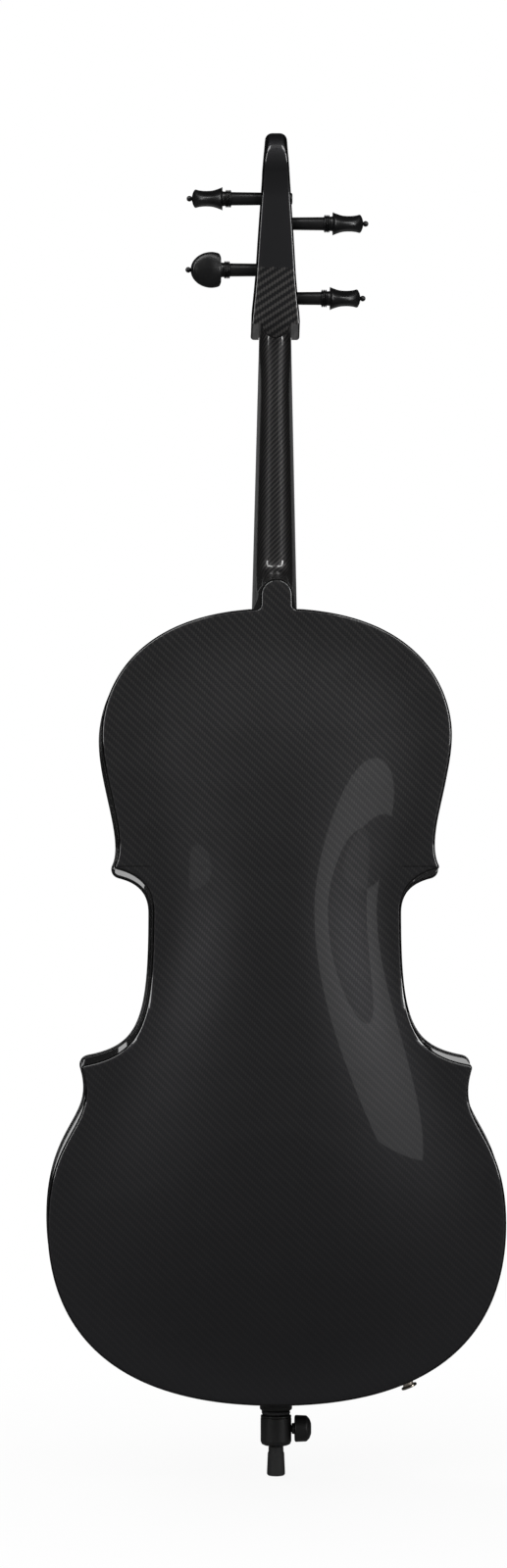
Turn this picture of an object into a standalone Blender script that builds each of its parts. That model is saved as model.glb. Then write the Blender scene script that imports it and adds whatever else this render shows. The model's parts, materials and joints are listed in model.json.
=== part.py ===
"""Carbon fiber cello, full size, with its endpin pushed in.

Frame: +Z up the instrument, +Y out of the front (strings), -Y out of the back, +X the bass side.
The origin is the middle of the rubber tip's underside. Lengths are in metres.
"""
import math

import bmesh
import bpy
from mathutils import Matrix, Vector

for stale in list(bpy.data.objects):
    bpy.data.objects.remove(stale)

MM = 0.001
GAP = 0.3 * MM

# Body outline: widths and heights above the body's bottom edge
BODY_LENGTH = 755 * MM
UPPER_BOUT = 333.2 * MM
UPPER_BOUT_AT = 634.7 * MM
WAIST = 235.2 * MM
WAIST_AT = 466 * MM
LOWER_BOUT = 433.6 * MM
LOWER_BOUT_AT = 171 * MM
UPPER_CORNER_HALF = 155.5 * MM
UPPER_CORNER_AT = 507 * MM
LOWER_CORNER_HALF = 185.8 * MM
LOWER_CORNER_AT = 320.3 * MM
CORNER_ROUND = 4.5 * MM

# Body depth, walls and arching
BODY_DEPTH = 120 * MM
RIB_DRAFT = 4.9 * MM
TOP_OVERHANG = 1.5 * MM
WALL = 2 * MM
TOP_WALL = 3 * MM
BACK_EDGE_ROUND = 3 * MM
BACK_ARCH = 24 * MM
TOP_ARCH = 26 * MM
ARCH_MARGIN = 14 * MM

# Endpin, from the floor up
TIP_LENGTH = 28.5 * MM
TIP_RADIUS = 8.7 * MM
TIP_SLEEVE_RADIUS = 7.3 * MM
COLLAR_LENGTH = 28.8 * MM
COLLAR_RADIUS = 14.8 * MM
GROOVE_LENGTH = 4.6 * MM
GROOVE_RADIUS = 9.6 * MM
RING_LENGTH = 7.6 * MM
RING_RADIUS = 15.6 * MM
PLUG_LENGTH = 45 * MM
PLUG_RADIUS = 13 * MM
PLUG_TAPER = 1.5 * MM
ROD_RADIUS = 5 * MM
ROD_LENGTH = 480 * MM
ROD_IN_TIP = 20 * MM
SCREW_SHANK_RADIUS = 3 * MM
KNOB_RADIUS = 12.8 * MM
KNOB_LENGTH = 16 * MM
KNOB_NECK_RADIUS = 5.2 * MM
KNOB_NECK_LENGTH = 2.6 * MM

# Neck, fingerboard and button
NECK_STOP = 279 * MM
OVERSTAND = 20.5 * MM
BOARD_BELOW_BRIDGE_TOP = 19.6 * MM
BOARD_LENGTH = 575 * MM
BOARD_EDGE = 5.2 * MM
BOARD_RADIUS = 62 * MM
BOARD_WIDTH_NUT = 31.2 * MM
BOARD_FLARE = 0.05
NECK_INSET = 2.8 * MM
NECK_INSET_RUN = 60 * MM
NECK_DEPTH_NUT = 20 * MM
NECK_DEPTH_HEEL = 24 * MM
HEEL_START = 77 * MM
BUTTON_LENGTH = 28 * MM
BUTTON_WIDTH = 31 * MM
BUTTON_WALL = 3.6 * MM
FOOT_DEPTH = 8.5 * MM
NUT_LENGTH = 6.5 * MM
NUT_LIFT = 1 * MM

# Head: local a runs up the head, local b out of its front
HEAD_TILT = math.radians(15)
CHEEK_DROP = 5.5 * MM
HEAD_DEPTH_LOW = 43 * MM
HEAD_DEPTH_HIGH = 31 * MM
CHEEK_RISE = 19.5 * MM
THROAT_AT = 147.5 * MM
CURL_RADIUS = 25.5 * MM
CURL_AT = 175 * MM
CURL_BACK = 9 * MM
CURL_CLOSING = 0.16
HEAD_CHAMFER = 2.2 * MM
HEAD_WIDTHS = ((0, 48), (27, 46.4), (44, 42.8), (64, 39.2), (101, 34.6), (130, 30.6), (160, 26.4),
               (174, 24.3), (186, 22), (202, 20.6))
CHEEK_WALL = 6.5 * MM
CAVITY_FROM = 16 * MM
CAVITY_TO = 150.5 * MM
CAVITY_DEPTH_LOW = 26 * MM
CAVITY_DEPTH_HIGH = 23 * MM
CHIN_HALF_WIDTH = 15.2 * MM
CHIN_HEIGHT = 13.3 * MM
CHIN_DEPTH = 18 * MM

# Pegs
PEG_RADIUS = 6.4 * MM
PEG_END_RADIUS = 5.8 * MM
PEG_END_STANDS_OUT = 1.4 * MM
PEG_HEAD_WIDTH = 34.9 * MM
PEG_HEAD_LENGTH = 29.8 * MM
PEG_COLLAR_LENGTH = 8.4 * MM
PEG_SIDES = 16
PEG_CLEARANCE = 0.42 * MM
PIN_RADIUS = 1.1 * MM
PIN_BALL_RADIUS = 2.5 * MM
PIN_STEM = 3.7 * MM
PIN_BALL_AT = PEG_COLLAR_LENGTH + PEG_HEAD_LENGTH + PIN_STEM
PIN_SEAT = 6 * MM
STRING_TURNS = 2
STRING_SELF_GAP = 0.45 * MM

# Bridge, tailpiece, saddle and their strings
BRIDGE_AT = 355 * MM
BRIDGE_TOP = 173.7 * MM
BRIDGE_FOOT_HALF = 46 * MM
BRIDGE_THICK_FOOT = 11 * MM
BRIDGE_THICK_TOP = 3.4 * MM
BRIDGE_TOP_RADIUS = 62 * MM
TAILPIECE_LENGTH = 225 * MM
TAILPIECE_FROM_BRIDGE = 118 * MM
TAILPIECE_HEAD_Y = 128 * MM
TAILPIECE_FOOT_Y = 80 * MM
TAILPIECE_HEAD_WIDTH = 62 * MM
TAILPIECE_FOOT_WIDTH = 27 * MM
TAILPIECE_THICK = 8 * MM
TUNER_SPACING = 13.4 * MM
TUNER_PIVOT_AT = 22 * MM
TUNER_SCREW_AT = 50 * MM
TUNER_BLADE = 3.2 * MM
TUNER_SLOT_FROM = 12 * MM
TUNER_SLOT_TO = 34 * MM
SADDLE_WIDTH = 34 * MM
SADDLE_HEIGHT = 8 * MM
SADDLE_LENGTH = 12 * MM
TAIL_CORD_RADIUS = 1.9 * MM

# Inside the body
BLOCK_HALF_WIDTH = 34 * MM
NECK_BLOCK_LENGTH = 50 * MM
END_BLOCK_LENGTH = 34 * MM
POST_RADIUS = 5.5 * MM
POST_X = -40 * MM
POST_BELOW_BRIDGE = 22 * MM
BAR_X = 38.5 * MM
BAR_SPLAY = 6 * MM
BAR_LENGTH = 570 * MM
BAR_WIDTH = 11 * MM
BAR_HEIGHT = 20 * MM
BAR_END_HEIGHT = 5 * MM

# Jack socket in the lower bass rib
JACK_X = 124.5 * MM
JACK_RADIUS = 5.2 * MM
JACK_BORE = 3.5 * MM
JACK_CAP_RADIUS = 7.8 * MM
JACK_STANDS_OUT = 6.8 * MM
JACK_CAP_LENGTH = 2.3 * MM
JACK_INSIDE = 34 * MM
JACK_NUT_RADIUS = 9 * MM
JACK_NUT_LENGTH = 3 * MM

# Places that follow from the sizes
COLLAR_BASE = TIP_LENGTH + GAP
GROOVE_BASE = COLLAR_BASE + COLLAR_LENGTH
RING_BASE = GROOVE_BASE + GROOVE_LENGTH
RING_TOP = RING_BASE + RING_LENGTH
BACK_EDGE = -BODY_DEPTH / 2
FRONT_EDGE = BODY_DEPTH / 2
RIB_FRONT = FRONT_EDGE - TOP_WALL - GAP
BODY_BOTTOM = RING_TOP + GAP + RIB_DRAFT * (RING_RADIUS - BACK_EDGE) / BODY_DEPTH
BODY_TOP = BODY_BOTTOM + BODY_LENGTH
NUT_Z = BODY_TOP + NECK_STOP
BRIDGE_Z = BODY_BOTTOM + BRIDGE_AT
# The neck leans back so far that the board's line meets the bridge at its set height
BOARD_AT_BRIDGE = BRIDGE_TOP - BOARD_BELOW_BRIDGE_TOP
NECK_SLOPE = (BOARD_AT_BRIDGE - FRONT_EDGE - OVERSTAND) / (BODY_TOP - BRIDGE_Z)

# Strings from bass to treble: place, wire diameter, peg height up the head, peg depth, peg side
STRINGS = (
    ("c", 1.4 * MM, 41.8 * MM, 13.4 * MM, +1, 44.8 * MM, 7.4 * MM),
    ("g", 1.1 * MM, 113.9 * MM, 11.6 * MM, +1, 47.0 * MM, 3.0 * MM),
    ("d", 1.0 * MM, 137.7 * MM, 11.2 * MM, -1, 43.4 * MM, 2.4 * MM),
    ("a", 0.8 * MM, 69.2 * MM, 12.4 * MM, -1, 44.6 * MM, 7.0 * MM),
)
NUT_SPACING = 7.17 * MM
BRIDGE_SPACING = 15.6 * MM
STRING_BEND = 3 * MM
STRING_LIFT = GAP + 0.4 * MM


def finish(name, rgb, roughness, metallic=0.0):
    """One Principled material with the piece's colour."""
    material = bpy.data.materials.get(name) or bpy.data.materials.new(name)
    material.use_nodes = True
    shader = material.node_tree.nodes["Principled BSDF"]
    shader.inputs["Base Color"].default_value = (*rgb, 1)
    shader.inputs["Roughness"].default_value = roughness
    shader.inputs["Metallic"].default_value = metallic
    material.diffuse_color = (*rgb, 1)
    return material


CARBON = finish("clear-coated twill carbon", (0.02, 0.02, 0.021), 0.12)
EBONY = finish("black peg and fitting composite", (0.018, 0.018, 0.018), 0.35)
RUBBER = finish("black rubber", (0.015, 0.015, 0.015), 0.8)
NICKEL = finish("nickel-plated brass", (0.62, 0.6, 0.57), 0.22, 1.0)
STEEL = finish("wound steel string", (0.5, 0.5, 0.5), 0.35, 1.0)
MAPLE = finish("bridge maple", (0.55, 0.36, 0.18), 0.55)
SPRUCE = finish("spruce post", (0.7, 0.52, 0.3), 0.7)
CORE = finish("structural foam and birch block", (0.5, 0.4, 0.25), 0.8)


def add_object(name, mesh, material):
    node = bpy.data.objects.new(name, mesh)
    bpy.context.scene.collection.objects.link(node)
    mesh.materials.clear()
    mesh.materials.append(material)
    return node


def solid(name, points, faces, material, sharp=30):
    """A closed mesh whose faces are turned outwards."""
    mesh = bpy.data.meshes.new(name)
    mesh.from_pydata([tuple(p) for p in points], [], faces)
    shape = bmesh.new()
    shape.from_mesh(mesh)
    bmesh.ops.recalc_face_normals(shape, faces=shape.faces)
    shape.to_mesh(mesh)
    shape.free()
    mesh.shade_smooth()
    mesh.set_sharp_from_angle(angle=math.radians(sharp))
    return add_object(name, mesh, material)


def band(first, second, count, close=True):
    """Quads between two rows of points that start at the given indices."""
    last = count if close else count - 1
    return [(first + i, first + (i + 1) % count, second + (i + 1) % count, second + i)
            for i in range(last)]


def split_band(first, second, count):
    """The same between closed rings, in triangles, so that fitted faces bend alike."""
    faces = []
    for a, b, c, d in band(first, second, count):
        faces += [(a, b, c), (a, c, d)]
    return faces


def loft(name, rings, material, sharp=30):
    """A solid through closed rings of equal count, capped at both ends."""
    count = len(rings[0])
    faces = [tuple(range(count)), tuple(range((len(rings) - 1) * count, len(rings) * count))]
    for k in range(len(rings) - 1):
        faces += band(k * count, (k + 1) * count, count)
    return solid(name, [p for ring in rings for p in ring], faces, material, sharp)


def axis_frame(origin, axis, side):
    """Matrix whose X is the axis and whose Y lies nearest to side."""
    x_axis = Vector(axis).normalized()
    z_axis = x_axis.cross(Vector(side)).normalized()
    y_axis = z_axis.cross(x_axis)
    return Matrix.Translation(origin) @ Matrix((x_axis, y_axis, z_axis)).transposed().to_4x4()


def turned(name, profile, frame, material, sides=24, sharp=30):
    """A turned solid. The profile runs (height, radius) and starts and ends on the axis."""
    points, faces, rows = [], [], []
    for height, radius in profile:
        if radius < 1e-9:
            rows.append([len(points)])
            points.append(frame @ Vector((height, 0, 0)))
            continue
        rows.append(list(range(len(points), len(points) + sides)))
        for k in range(sides):
            angle = math.tau * (k + 0.5) / sides
            points.append(frame @ Vector((height, radius * math.cos(angle), radius * math.sin(angle))))
    for low, high in zip(rows, rows[1:] + rows[:1]):
        for k in range(sides):
            n = (k + 1) % sides
            if len(low) == 1 and len(high) == 1:
                break
            if len(low) == 1:
                faces.append((low[0], high[n], high[k]))
            elif len(high) == 1:
                faces.append((low[k], low[n], high[0]))
            else:
                faces.append((low[k], low[n], high[n], high[k]))
    return solid(name, points, faces, material, sharp)


def prism(name, outline, to_world, low, high, material):
    """A flat outline carried from low to high; to_world places (u, v, height)."""
    rings = [[to_world(u, v, height) for u, v in outline] for height in (low, high)]
    return loft(name, rings, material)


def cut(node, cutter, operation="DIFFERENCE"):
    change = node.modifiers.new(cutter.name, "BOOLEAN")
    change.operation = operation
    change.solver = "EXACT"
    change.object = cutter
    cutter.hide_render = True
    cutter.display_type = "WIRE"


def place_origin(node, origin):
    """Moves the object's origin to a joint's axis and leaves the shape where it is."""
    node.data.transform(Matrix.Translation(-Vector(origin)))
    node.location = origin


def mix(low, high, t):
    return low + (high - low) * t


def smooth(t):
    t = min(max(t, 0), 1)
    return t * t * (3 - 2 * t)


# Body outline
def bezier(a, b, c, d, steps):
    """Points of a cubic curve, without its last one."""
    a, b, c, d = (Vector(p) for p in (a, b, c, d))
    curve = []
    for k in range(steps):
        t = k / steps
        curve.append((1 - t) ** 3 * a + 3 * (1 - t) ** 2 * t * b + 3 * (1 - t) * t * t * c + t ** 3 * d)
    return curve


def along(points, start, step, distance):
    """The point a distance along a polyline, and the next index that is kept."""
    here = start
    left = distance
    while left > (points[here + step] - points[here]).length:
        left -= (points[here + step] - points[here]).length
        here += step
    share = left / (points[here + step] - points[here]).length
    return points[here].lerp(points[here + step], share), here + step


def round_corner(points, index):
    """Replaces the sharp tip of a corner by a short round end."""
    before, keep_before = along(points, index, -1, CORNER_ROUND)
    after, keep_after = along(points, index, 1, CORNER_ROUND)
    tip = points[index]
    middle = [(1 - t) ** 2 * before + 2 * t * (1 - t) * tip + t * t * after for t in (0, 0.3, 0.5, 0.7, 1)]
    return points[:keep_before + 1] + middle + points[keep_after:]


def half_outline():
    """Right half of the back's edge, from the top centre down to the bottom centre, as (x, z)."""
    top, upper = BODY_LENGTH, UPPER_BOUT / 2
    waist, lower = WAIST / 2, LOWER_BOUT / 2
    c1 = Vector((UPPER_CORNER_HALF, UPPER_CORNER_AT))
    c2 = Vector((LOWER_CORNER_HALF, LOWER_CORNER_AT))
    shoulder = bezier((0, top), (0.836 * upper, top), (upper, UPPER_BOUT_AT + 40.6 * MM),
                      (upper, UPPER_BOUT_AT), 8)
    flank = bezier((upper, UPPER_BOUT_AT), (upper, UPPER_BOUT_AT - 44.9 * MM),
                   c1 + Vector((-16.8, 25.8)) * MM, c1, 5)
    hollow_top = bezier(c1, c1 + Vector((-14.6, -3.1)) * MM, (waist, WAIST_AT + 30.4 * MM),
                        (waist, WAIST_AT), 5)
    hollow_low = bezier((waist, WAIST_AT), (waist, WAIST_AT - 106.3 * MM),
                        c2 + Vector((-59.2, 9.6)) * MM, c2, 8)
    hip = bezier(c2, c2 + Vector((-20.1, -58.7)) * MM, (lower, LOWER_BOUT_AT + 91.8 * MM),
                 (lower, LOWER_BOUT_AT), 6)
    base = bezier((lower, LOWER_BOUT_AT), (lower, LOWER_BOUT_AT - 85.7 * MM), (0.789 * lower, 0), (0, 0), 9)
    points = shoulder + flank + hollow_top + hollow_low + hip + base + [Vector((0, 0))]
    first = len(shoulder) + len(flank)
    second = first + len(hollow_top) + len(hollow_low)
    points = round_corner(round_corner(points, second), first)
    return [Vector((p.x, p.y + BODY_BOTTOM)) for p in points]


HALF = half_outline()
N_HALF = len(HALF) - 1
LOOP = HALF + [Vector((-p.x, p.y)) for p in reversed(HALF[1:-1])]
SPINE_TOP = BODY_BOTTOM + UPPER_BOUT_AT
SPINE_LOW = BODY_BOTTOM + LOWER_BOUT_AT


def offset_loop(distance):
    """The outline moved outwards by a distance, square to itself."""
    moved = []
    for k, point in enumerate(LOOP):
        run = LOOP[(k + 1) % len(LOOP)] - LOOP[k - 1]
        moved.append(point + Vector((-run.y, run.x)).normalized() * distance)
    return moved


def draft(depth):
    """How far the rib leans out at a depth."""
    return RIB_DRAFT * (depth - BACK_EDGE) / BODY_DEPTH


def arch(x, z):
    """Arching of a plate, from 0 at its edge to 1 at its middle."""
    v = z - BODY_BOTTOM
    upper = UPPER_BOUT / 2 - ARCH_MARGIN
    lower = LOWER_BOUT / 2 - ARCH_MARGIN
    waist = WAIST / 2 - ARCH_MARGIN * 0.6
    if v < LOWER_BOUT_AT:
        reach = (LOWER_BOUT_AT - v) / (LOWER_BOUT_AT - ARCH_MARGIN)
        width = lower * math.sqrt(max(1 - reach * reach, 0))
    elif v < WAIST_AT:
        width = mix(lower, waist, smooth((v - LOWER_BOUT_AT) / (WAIST_AT - LOWER_BOUT_AT)))
    elif v < UPPER_BOUT_AT:
        width = mix(waist, upper, smooth((v - WAIST_AT) / (UPPER_BOUT_AT - WAIST_AT)))
    else:
        reach = (v - UPPER_BOUT_AT) / (BODY_LENGTH - ARCH_MARGIN - UPPER_BOUT_AT)
        width = upper * math.sqrt(max(1 - reach * reach, 0))
    across = min(abs(x) / max(width, 1e-6), 1) ** 1.25
    down = min(abs(2 * v / BODY_LENGTH - 1) / 0.96, 1) ** 2.5
    return 0.25 * (1 + math.cos(math.pi * across)) * (1 + math.cos(math.pi * down))


def back_outside(x, z):
    return BACK_EDGE - BACK_ARCH * arch(x, z)


def back_inside(x, z):
    return back_outside(x, z) + WALL


def top_outside(x, z):
    return FRONT_EDGE + TOP_ARCH * arch(x, z)


def top_inside(x, z):
    return top_outside(x, z) - TOP_WALL


def level_ring(distance, depth):
    return [Vector((p.x, depth, p.y)) for p in offset_loop(distance)]


def plate_ring(distance, share, surface):
    """A ring of plate points, the outline drawn in towards the spine."""
    ring = []
    for p in offset_loop(distance):
        spine = min(max(p.y, SPINE_LOW), SPINE_TOP)
        x, z = p.x * share, mix(spine, p.y, share)
        ring.append(Vector((x, surface(x, z), z)))
    return ring


def across_spine(base):
    """Faces that close a ring from its left half to its right half."""
    count = len(LOOP)
    faces = [(base, base + 1, base + count - 1)]
    for k in range(1, N_HALF - 1):
        faces.append((base + k, base + k + 1, base + count - k - 1, base + count - k))
    return faces + [(base + N_HALF - 1, base + N_HALF, base + N_HALF + 1)]


def shell(name, rings, material):
    """Rings joined in turn; the first and last are closed across the spine."""
    count = len(LOOP)
    faces = []
    for k in range(len(rings) - 1):
        faces += split_band(k * count, (k + 1) * count, count)
    for base in (0, (len(rings) - 1) * count):
        faces += across_spine(base)
    return solid(name, [p for ring in rings for p in ring], faces, material, 40)


SHARES = (0.93, 0.78, 0.54, 0.22)


# Bowl: back and ribs in one moulding
def make_bowl():
    low = BACK_EDGE + BACK_EDGE_ROUND
    rings = [level_ring(draft(RIB_FRONT), RIB_FRONT), level_ring(draft(low), low),
             level_ring(-0.3 * BACK_EDGE_ROUND, BACK_EDGE + 0.3 * BACK_EDGE_ROUND),
             level_ring(-BACK_EDGE_ROUND, BACK_EDGE)]
    rings += [plate_ring(0, share, back_outside) for share in SHARES]
    rings += [plate_ring(0, share, back_inside) for share in reversed(SHARES)]
    rings += [level_ring(-WALL, BACK_EDGE + WALL + 1 * MM), level_ring(draft(RIB_FRONT) - WALL, RIB_FRONT)]
    count = len(LOOP)
    centre_out = len(SHARES) + 3
    faces = []
    for k in range(len(rings)):
        if k != centre_out:
            faces += split_band(k * count, ((k + 1) % len(rings)) * count, count)
    for base in (centre_out * count, (centre_out + 1) * count):
        faces += across_spine(base)
    return solid("body_bowl", [p for ring in rings for p in ring], faces, CARBON, 40)


def button_outline(spare=0.0):
    """The tab of the back that covers the heel, as (x, z)."""
    half = BUTTON_WIDTH / 2 + spare
    centre = BODY_TOP + BUTTON_LENGTH - BUTTON_WIDTH / 2
    arc = [(half * math.cos(math.pi * k / 10), centre + half * math.sin(math.pi * k / 10)) for k in range(11)]
    foot = BODY_TOP - 12 * MM
    return [(half, foot)] + arc + [(-half, foot)]


def board_width(z):
    return BOARD_WIDTH_NUT + BOARD_FLARE * (NUT_Z - z)


def neck_face(z):
    """Depth of the glue face between the neck and the fingerboard."""
    return FRONT_EDGE + OVERSTAND - NECK_SLOPE * (z - BODY_TOP)


def sagitta(half_width, radius=BOARD_RADIUS):
    return radius - math.sqrt(radius ** 2 - half_width ** 2)


def board_top(x, z):
    return neck_face(z) + BOARD_EDGE + sagitta(board_width(z) / 2) - sagitta(abs(x))


BUTTON_FRONT = BACK_EDGE + BUTTON_WALL
HEEL_BACK = BUTTON_FRONT + GAP
FOOT_Z = BODY_TOP - FOOT_DEPTH


def foot_outline(spare):
    """Cross-section of the neck's foot, as (x, y)."""
    front = board_width(BODY_TOP) / 2 + spare
    back = BUTTON_WIDTH / 2 + spare
    face = neck_face(FOOT_Z)
    slope = (front - back) / (face - HEEL_BACK)
    return [(-back, HEEL_BACK - spare), (back, HEEL_BACK - spare),
            (front + slope * 10 * MM, face + 10 * MM), (-front - slope * 10 * MM, face + 10 * MM)]


bowl = make_bowl()
cut(bowl, prism("button_tab", button_outline(), lambda u, v, h: Vector((u, h, v)), BACK_EDGE, BUTTON_FRONT,
                CARBON), "UNION")

top_rings = [plate_ring(RIB_DRAFT, share, top_outside) for share in reversed(SHARES)]
EDGE = RIB_DRAFT + TOP_OVERHANG
top_rings += [level_ring(EDGE - 0.5 * TOP_WALL, FRONT_EDGE), level_ring(EDGE, FRONT_EDGE - 0.4 * TOP_WALL),
              level_ring(EDGE, FRONT_EDGE - TOP_WALL)]
top_rings += [plate_ring(RIB_DRAFT, share, top_inside) for share in SHARES]
top_plate = shell("top_plate", top_rings, CARBON)

foot_cutter = prism("foot_space", foot_outline(GAP), lambda u, v, h: Vector((u, v, h)),
                    FOOT_Z - GAP, BODY_TOP + 30 * MM, CARBON)
cut(bowl, foot_cutter)
cut(top_plate, foot_cutter)


# F-holes: two eyes joined by a curved slot, mirrored
F_UPPER_EYE = (50 * MM, 62 * MM, 5.5 * MM)
F_LOWER_EYE = (84 * MM, -60 * MM, 7 * MM)
F_SLOT_HALF = 3.4 * MM


def f_hole(side):
    upper = Vector(F_UPPER_EYE[:2])
    lower = Vector(F_LOWER_EYE[:2])
    middle = (upper + lower) / 2
    lean = Vector((-6, 34)) * MM
    curl = Vector((11, 15)) * MM
    start = upper + Vector((0.4, 0.8)) * F_UPPER_EYE[2]
    end = lower - Vector((0.4, 0.8)) * F_LOWER_EYE[2]
    spine = bezier(start, start + curl, middle + lean, middle, 7)
    spine += bezier(middle, middle - lean, end - curl, end, 7) + [end]
    left, right = [], []
    for k, point in enumerate(spine):
        run = spine[min(k + 1, len(spine) - 1)] - spine[max(k - 1, 0)]
        normal = Vector((-run.y, run.x)).normalized()
        half = F_SLOT_HALF * (0.45 + 0.55 * math.sin(math.pi * k / (len(spine) - 1)))
        left.append(point + normal * half)
        right.append(point - normal * half)
    outline = [(side * p.x, BRIDGE_Z + p.y) for p in left + right[::-1]]
    prism_name = f"f_slot_{'bass' if side > 0 else 'treble'}"
    cut(top_plate, prism(prism_name, outline, lambda u, v, h: Vector((u, h, v)), FRONT_EDGE - 20 * MM,
                         FRONT_EDGE + TOP_ARCH + 10 * MM, CARBON))
    for x, z, radius in (F_UPPER_EYE, F_LOWER_EYE):
        frame = axis_frame((side * x, FRONT_EDGE - 20 * MM, BRIDGE_Z + z), (0, 1, 0), (1, 0, 0))
        eye = turned(f"f_eye_{side}_{round(radius / MM)}", [(0, 0), (0, radius), (60 * MM, radius),
                                                          (60 * MM, 0)], frame, CARBON, 16)
        cut(top_plate, eye)


for f_side in (1, -1):
    f_hole(f_side)


# Blocks follow the inside of the ribs
def edge_at(loop, x, keep_top):
    """Height of the outline's top or bottom edge at a place across."""
    for first, second in zip(loop, loop[1:] + loop[:1]):
        if (first.y > SPINE_TOP) == keep_top and min(first.x, second.x) <= x < max(first.x, second.x):
            return mix(first.y, second.y, (x - first.x) / (second.x - first.x))
    raise ValueError("no edge at this place")


def block(name, flat, keep_top):
    rings = []
    for depth in (BUTTON_FRONT + GAP, RIB_FRONT - GAP):
        loop = offset_loop(draft(depth) - WALL - GAP)
        across = [BLOCK_HALF_WIDTH * (k / 3 - 1) for k in range(7)]
        rings.append([Vector((x, depth, edge_at(loop, x, keep_top))) for x in across]
                     + [Vector((BLOCK_HALF_WIDTH, depth, flat)), Vector((-BLOCK_HALF_WIDTH, depth, flat))])
    return loft(name, rings, CORE)


neck_block = block("neck_block", BODY_TOP - NECK_BLOCK_LENGTH, True)
cut(neck_block, foot_cutter)
end_block = block("end_block", BODY_BOTTOM + END_BLOCK_LENGTH, False)


# What lies beyond a plate's face; the pieces that stand on the plate are cut with it
above_belly = shell("above_belly", [level_ring(EDGE, 0.2), level_ring(EDGE, FRONT_EDGE - TOP_WALL - GAP)]
                    + [plate_ring(RIB_DRAFT, share, lambda x, z: top_inside(x, z) - GAP) for share in SHARES],
                    CARBON)
below_belly = shell("below_belly", [plate_ring(RIB_DRAFT, share, lambda x, z: top_outside(x, z) + GAP)
                                    for share in reversed(SHARES)]
                    + [level_ring(EDGE - 0.5 * TOP_WALL, FRONT_EDGE + GAP), level_ring(EDGE, 0)], CARBON)
below_back = shell("below_back", [plate_ring(0, share, lambda x, z: back_inside(x, z) + GAP)
                                  for share in reversed(SHARES)]
                   + [level_ring(-WALL, BACK_EDGE + WALL + 1 * MM + GAP), level_ring(-WALL, -0.2)], CARBON)
for cutter in (above_belly, below_belly, below_back):
    cutter.hide_render = True
    cutter.display_type = "WIRE"


# Sound post and bass bar, fitted to the arching
post_frame = axis_frame((POST_X, BACK_EDGE - BACK_ARCH, BRIDGE_Z - POST_BELOW_BRIDGE), (0, 1, 0), (1, 0, 0))
post_reach = BODY_DEPTH + BACK_ARCH + TOP_ARCH
sound_post = turned("sound_post", [(0, 0), (0, POST_RADIUS), (post_reach, POST_RADIUS), (post_reach, 0)],
                    post_frame, SPRUCE, 12)
cut(sound_post, above_belly)
cut(sound_post, below_back)


def make_bass_bar():
    rings = []
    steps = 8
    for k in range(steps + 1):
        t = k / steps
        z = BRIDGE_Z - 5 * MM + BAR_LENGTH * (t - 0.5)
        x = BAR_X - BAR_SPLAY * (t - 0.5)
        left, right = x - BAR_WIDTH / 2, x + BAR_WIDTH / 2
        high = top_outside(x, z)
        low = min(top_inside(left, z), top_inside(right, z)) - mix(BAR_END_HEIGHT, BAR_HEIGHT,
                                                                  math.sin(math.pi * t))
        rings.append([Vector((left, high, z)), Vector((right, high, z)), Vector((right, low, z)),
                      Vector((left, low, z))])
    return loft("bass_bar", rings, SPRUCE)


cut(make_bass_bar(), above_belly)


# Neck: sections from the glue face to the back of the neck, then round the heel
def neck_half(z):
    """Half the neck's width at its glue face: less than the board's between the nut and the foot."""
    run = smooth((NUT_Z - z) / NECK_INSET_RUN) * smooth((z - BODY_TOP - 6 * MM) / (12 * MM))
    return board_width(z) / 2 - NECK_INSET * run


def neck_section(front_z, back, fullness, back_half, lift=GAP):
    """A D-shaped section between a point on the glue face and a point on the back."""
    face = Vector((neck_face(front_z) - lift, front_z))
    half = neck_half(front_z)
    ring = []
    steps = 12
    for k in range(steps + 1):
        angle = math.pi * k / steps
        run = abs(math.sin(angle)) ** (2 / fullness)
        reach = abs(math.cos(angle)) ** (2 / fullness) * (1 if k < steps / 2 else -1)
        if k * 2 == steps:
            reach = 0
        place = face.lerp(back, run)
        ring.append(Vector((reach * mix(half, back_half, run), place.x, place.y)))
    return ring


AXIS = Vector((-NECK_SLOPE, 1)).normalized()


def neck_back(front_z):
    t = (NUT_Z - front_z) / (NUT_Z - BODY_TOP - HEEL_START)
    depth = mix(NECK_DEPTH_NUT, NECK_DEPTH_HEEL, t)
    return Vector((neck_face(front_z), front_z)) + Vector((-AXIS.y, AXIS.x)) * depth


NECK_END = NUT_Z - 6.5 * MM
HEEL_TOP = BODY_TOP + HEEL_START
BUTTON_Z = BODY_TOP + BUTTON_LENGTH


def make_neck():
    rings = []
    for z in (NECK_END, NUT_Z - NECK_INSET_RUN, mix(NUT_Z - NECK_INSET_RUN, HEEL_TOP, 0.5), HEEL_TOP):
        rings.append(neck_section(z, neck_back(z), 2.2, neck_half(z)))
    start = neck_back(HEEL_TOP)
    end = Vector((HEEL_BACK, BUTTON_Z))
    curve = bezier(start, start - AXIS * 30 * MM, end + Vector((48, 2)) * MM, end, 9)[1:] + [end]
    for k, back in enumerate(curve):
        t = (k + 1) / len(curve)
        z = mix(HEEL_TOP, BUTTON_Z - 4 * MM, t)
        rings.append(neck_section(z, back, 2.2, mix(neck_half(z), BUTTON_WIDTH / 2, t)))
    for drop, fullness in ((2.5, 3.0), (7, 4.5), (15, 14)):
        z = BUTTON_Z - drop * MM
        rings.append(neck_section(z - 4 * MM, Vector((HEEL_BACK, z)), fullness, BUTTON_WIDTH / 2))
    rings.append(neck_section(FOOT_Z, Vector((HEEL_BACK, FOOT_Z)), 14, BUTTON_WIDTH / 2))
    return loft("neck", rings, CARBON, 35)


make_neck()


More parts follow.
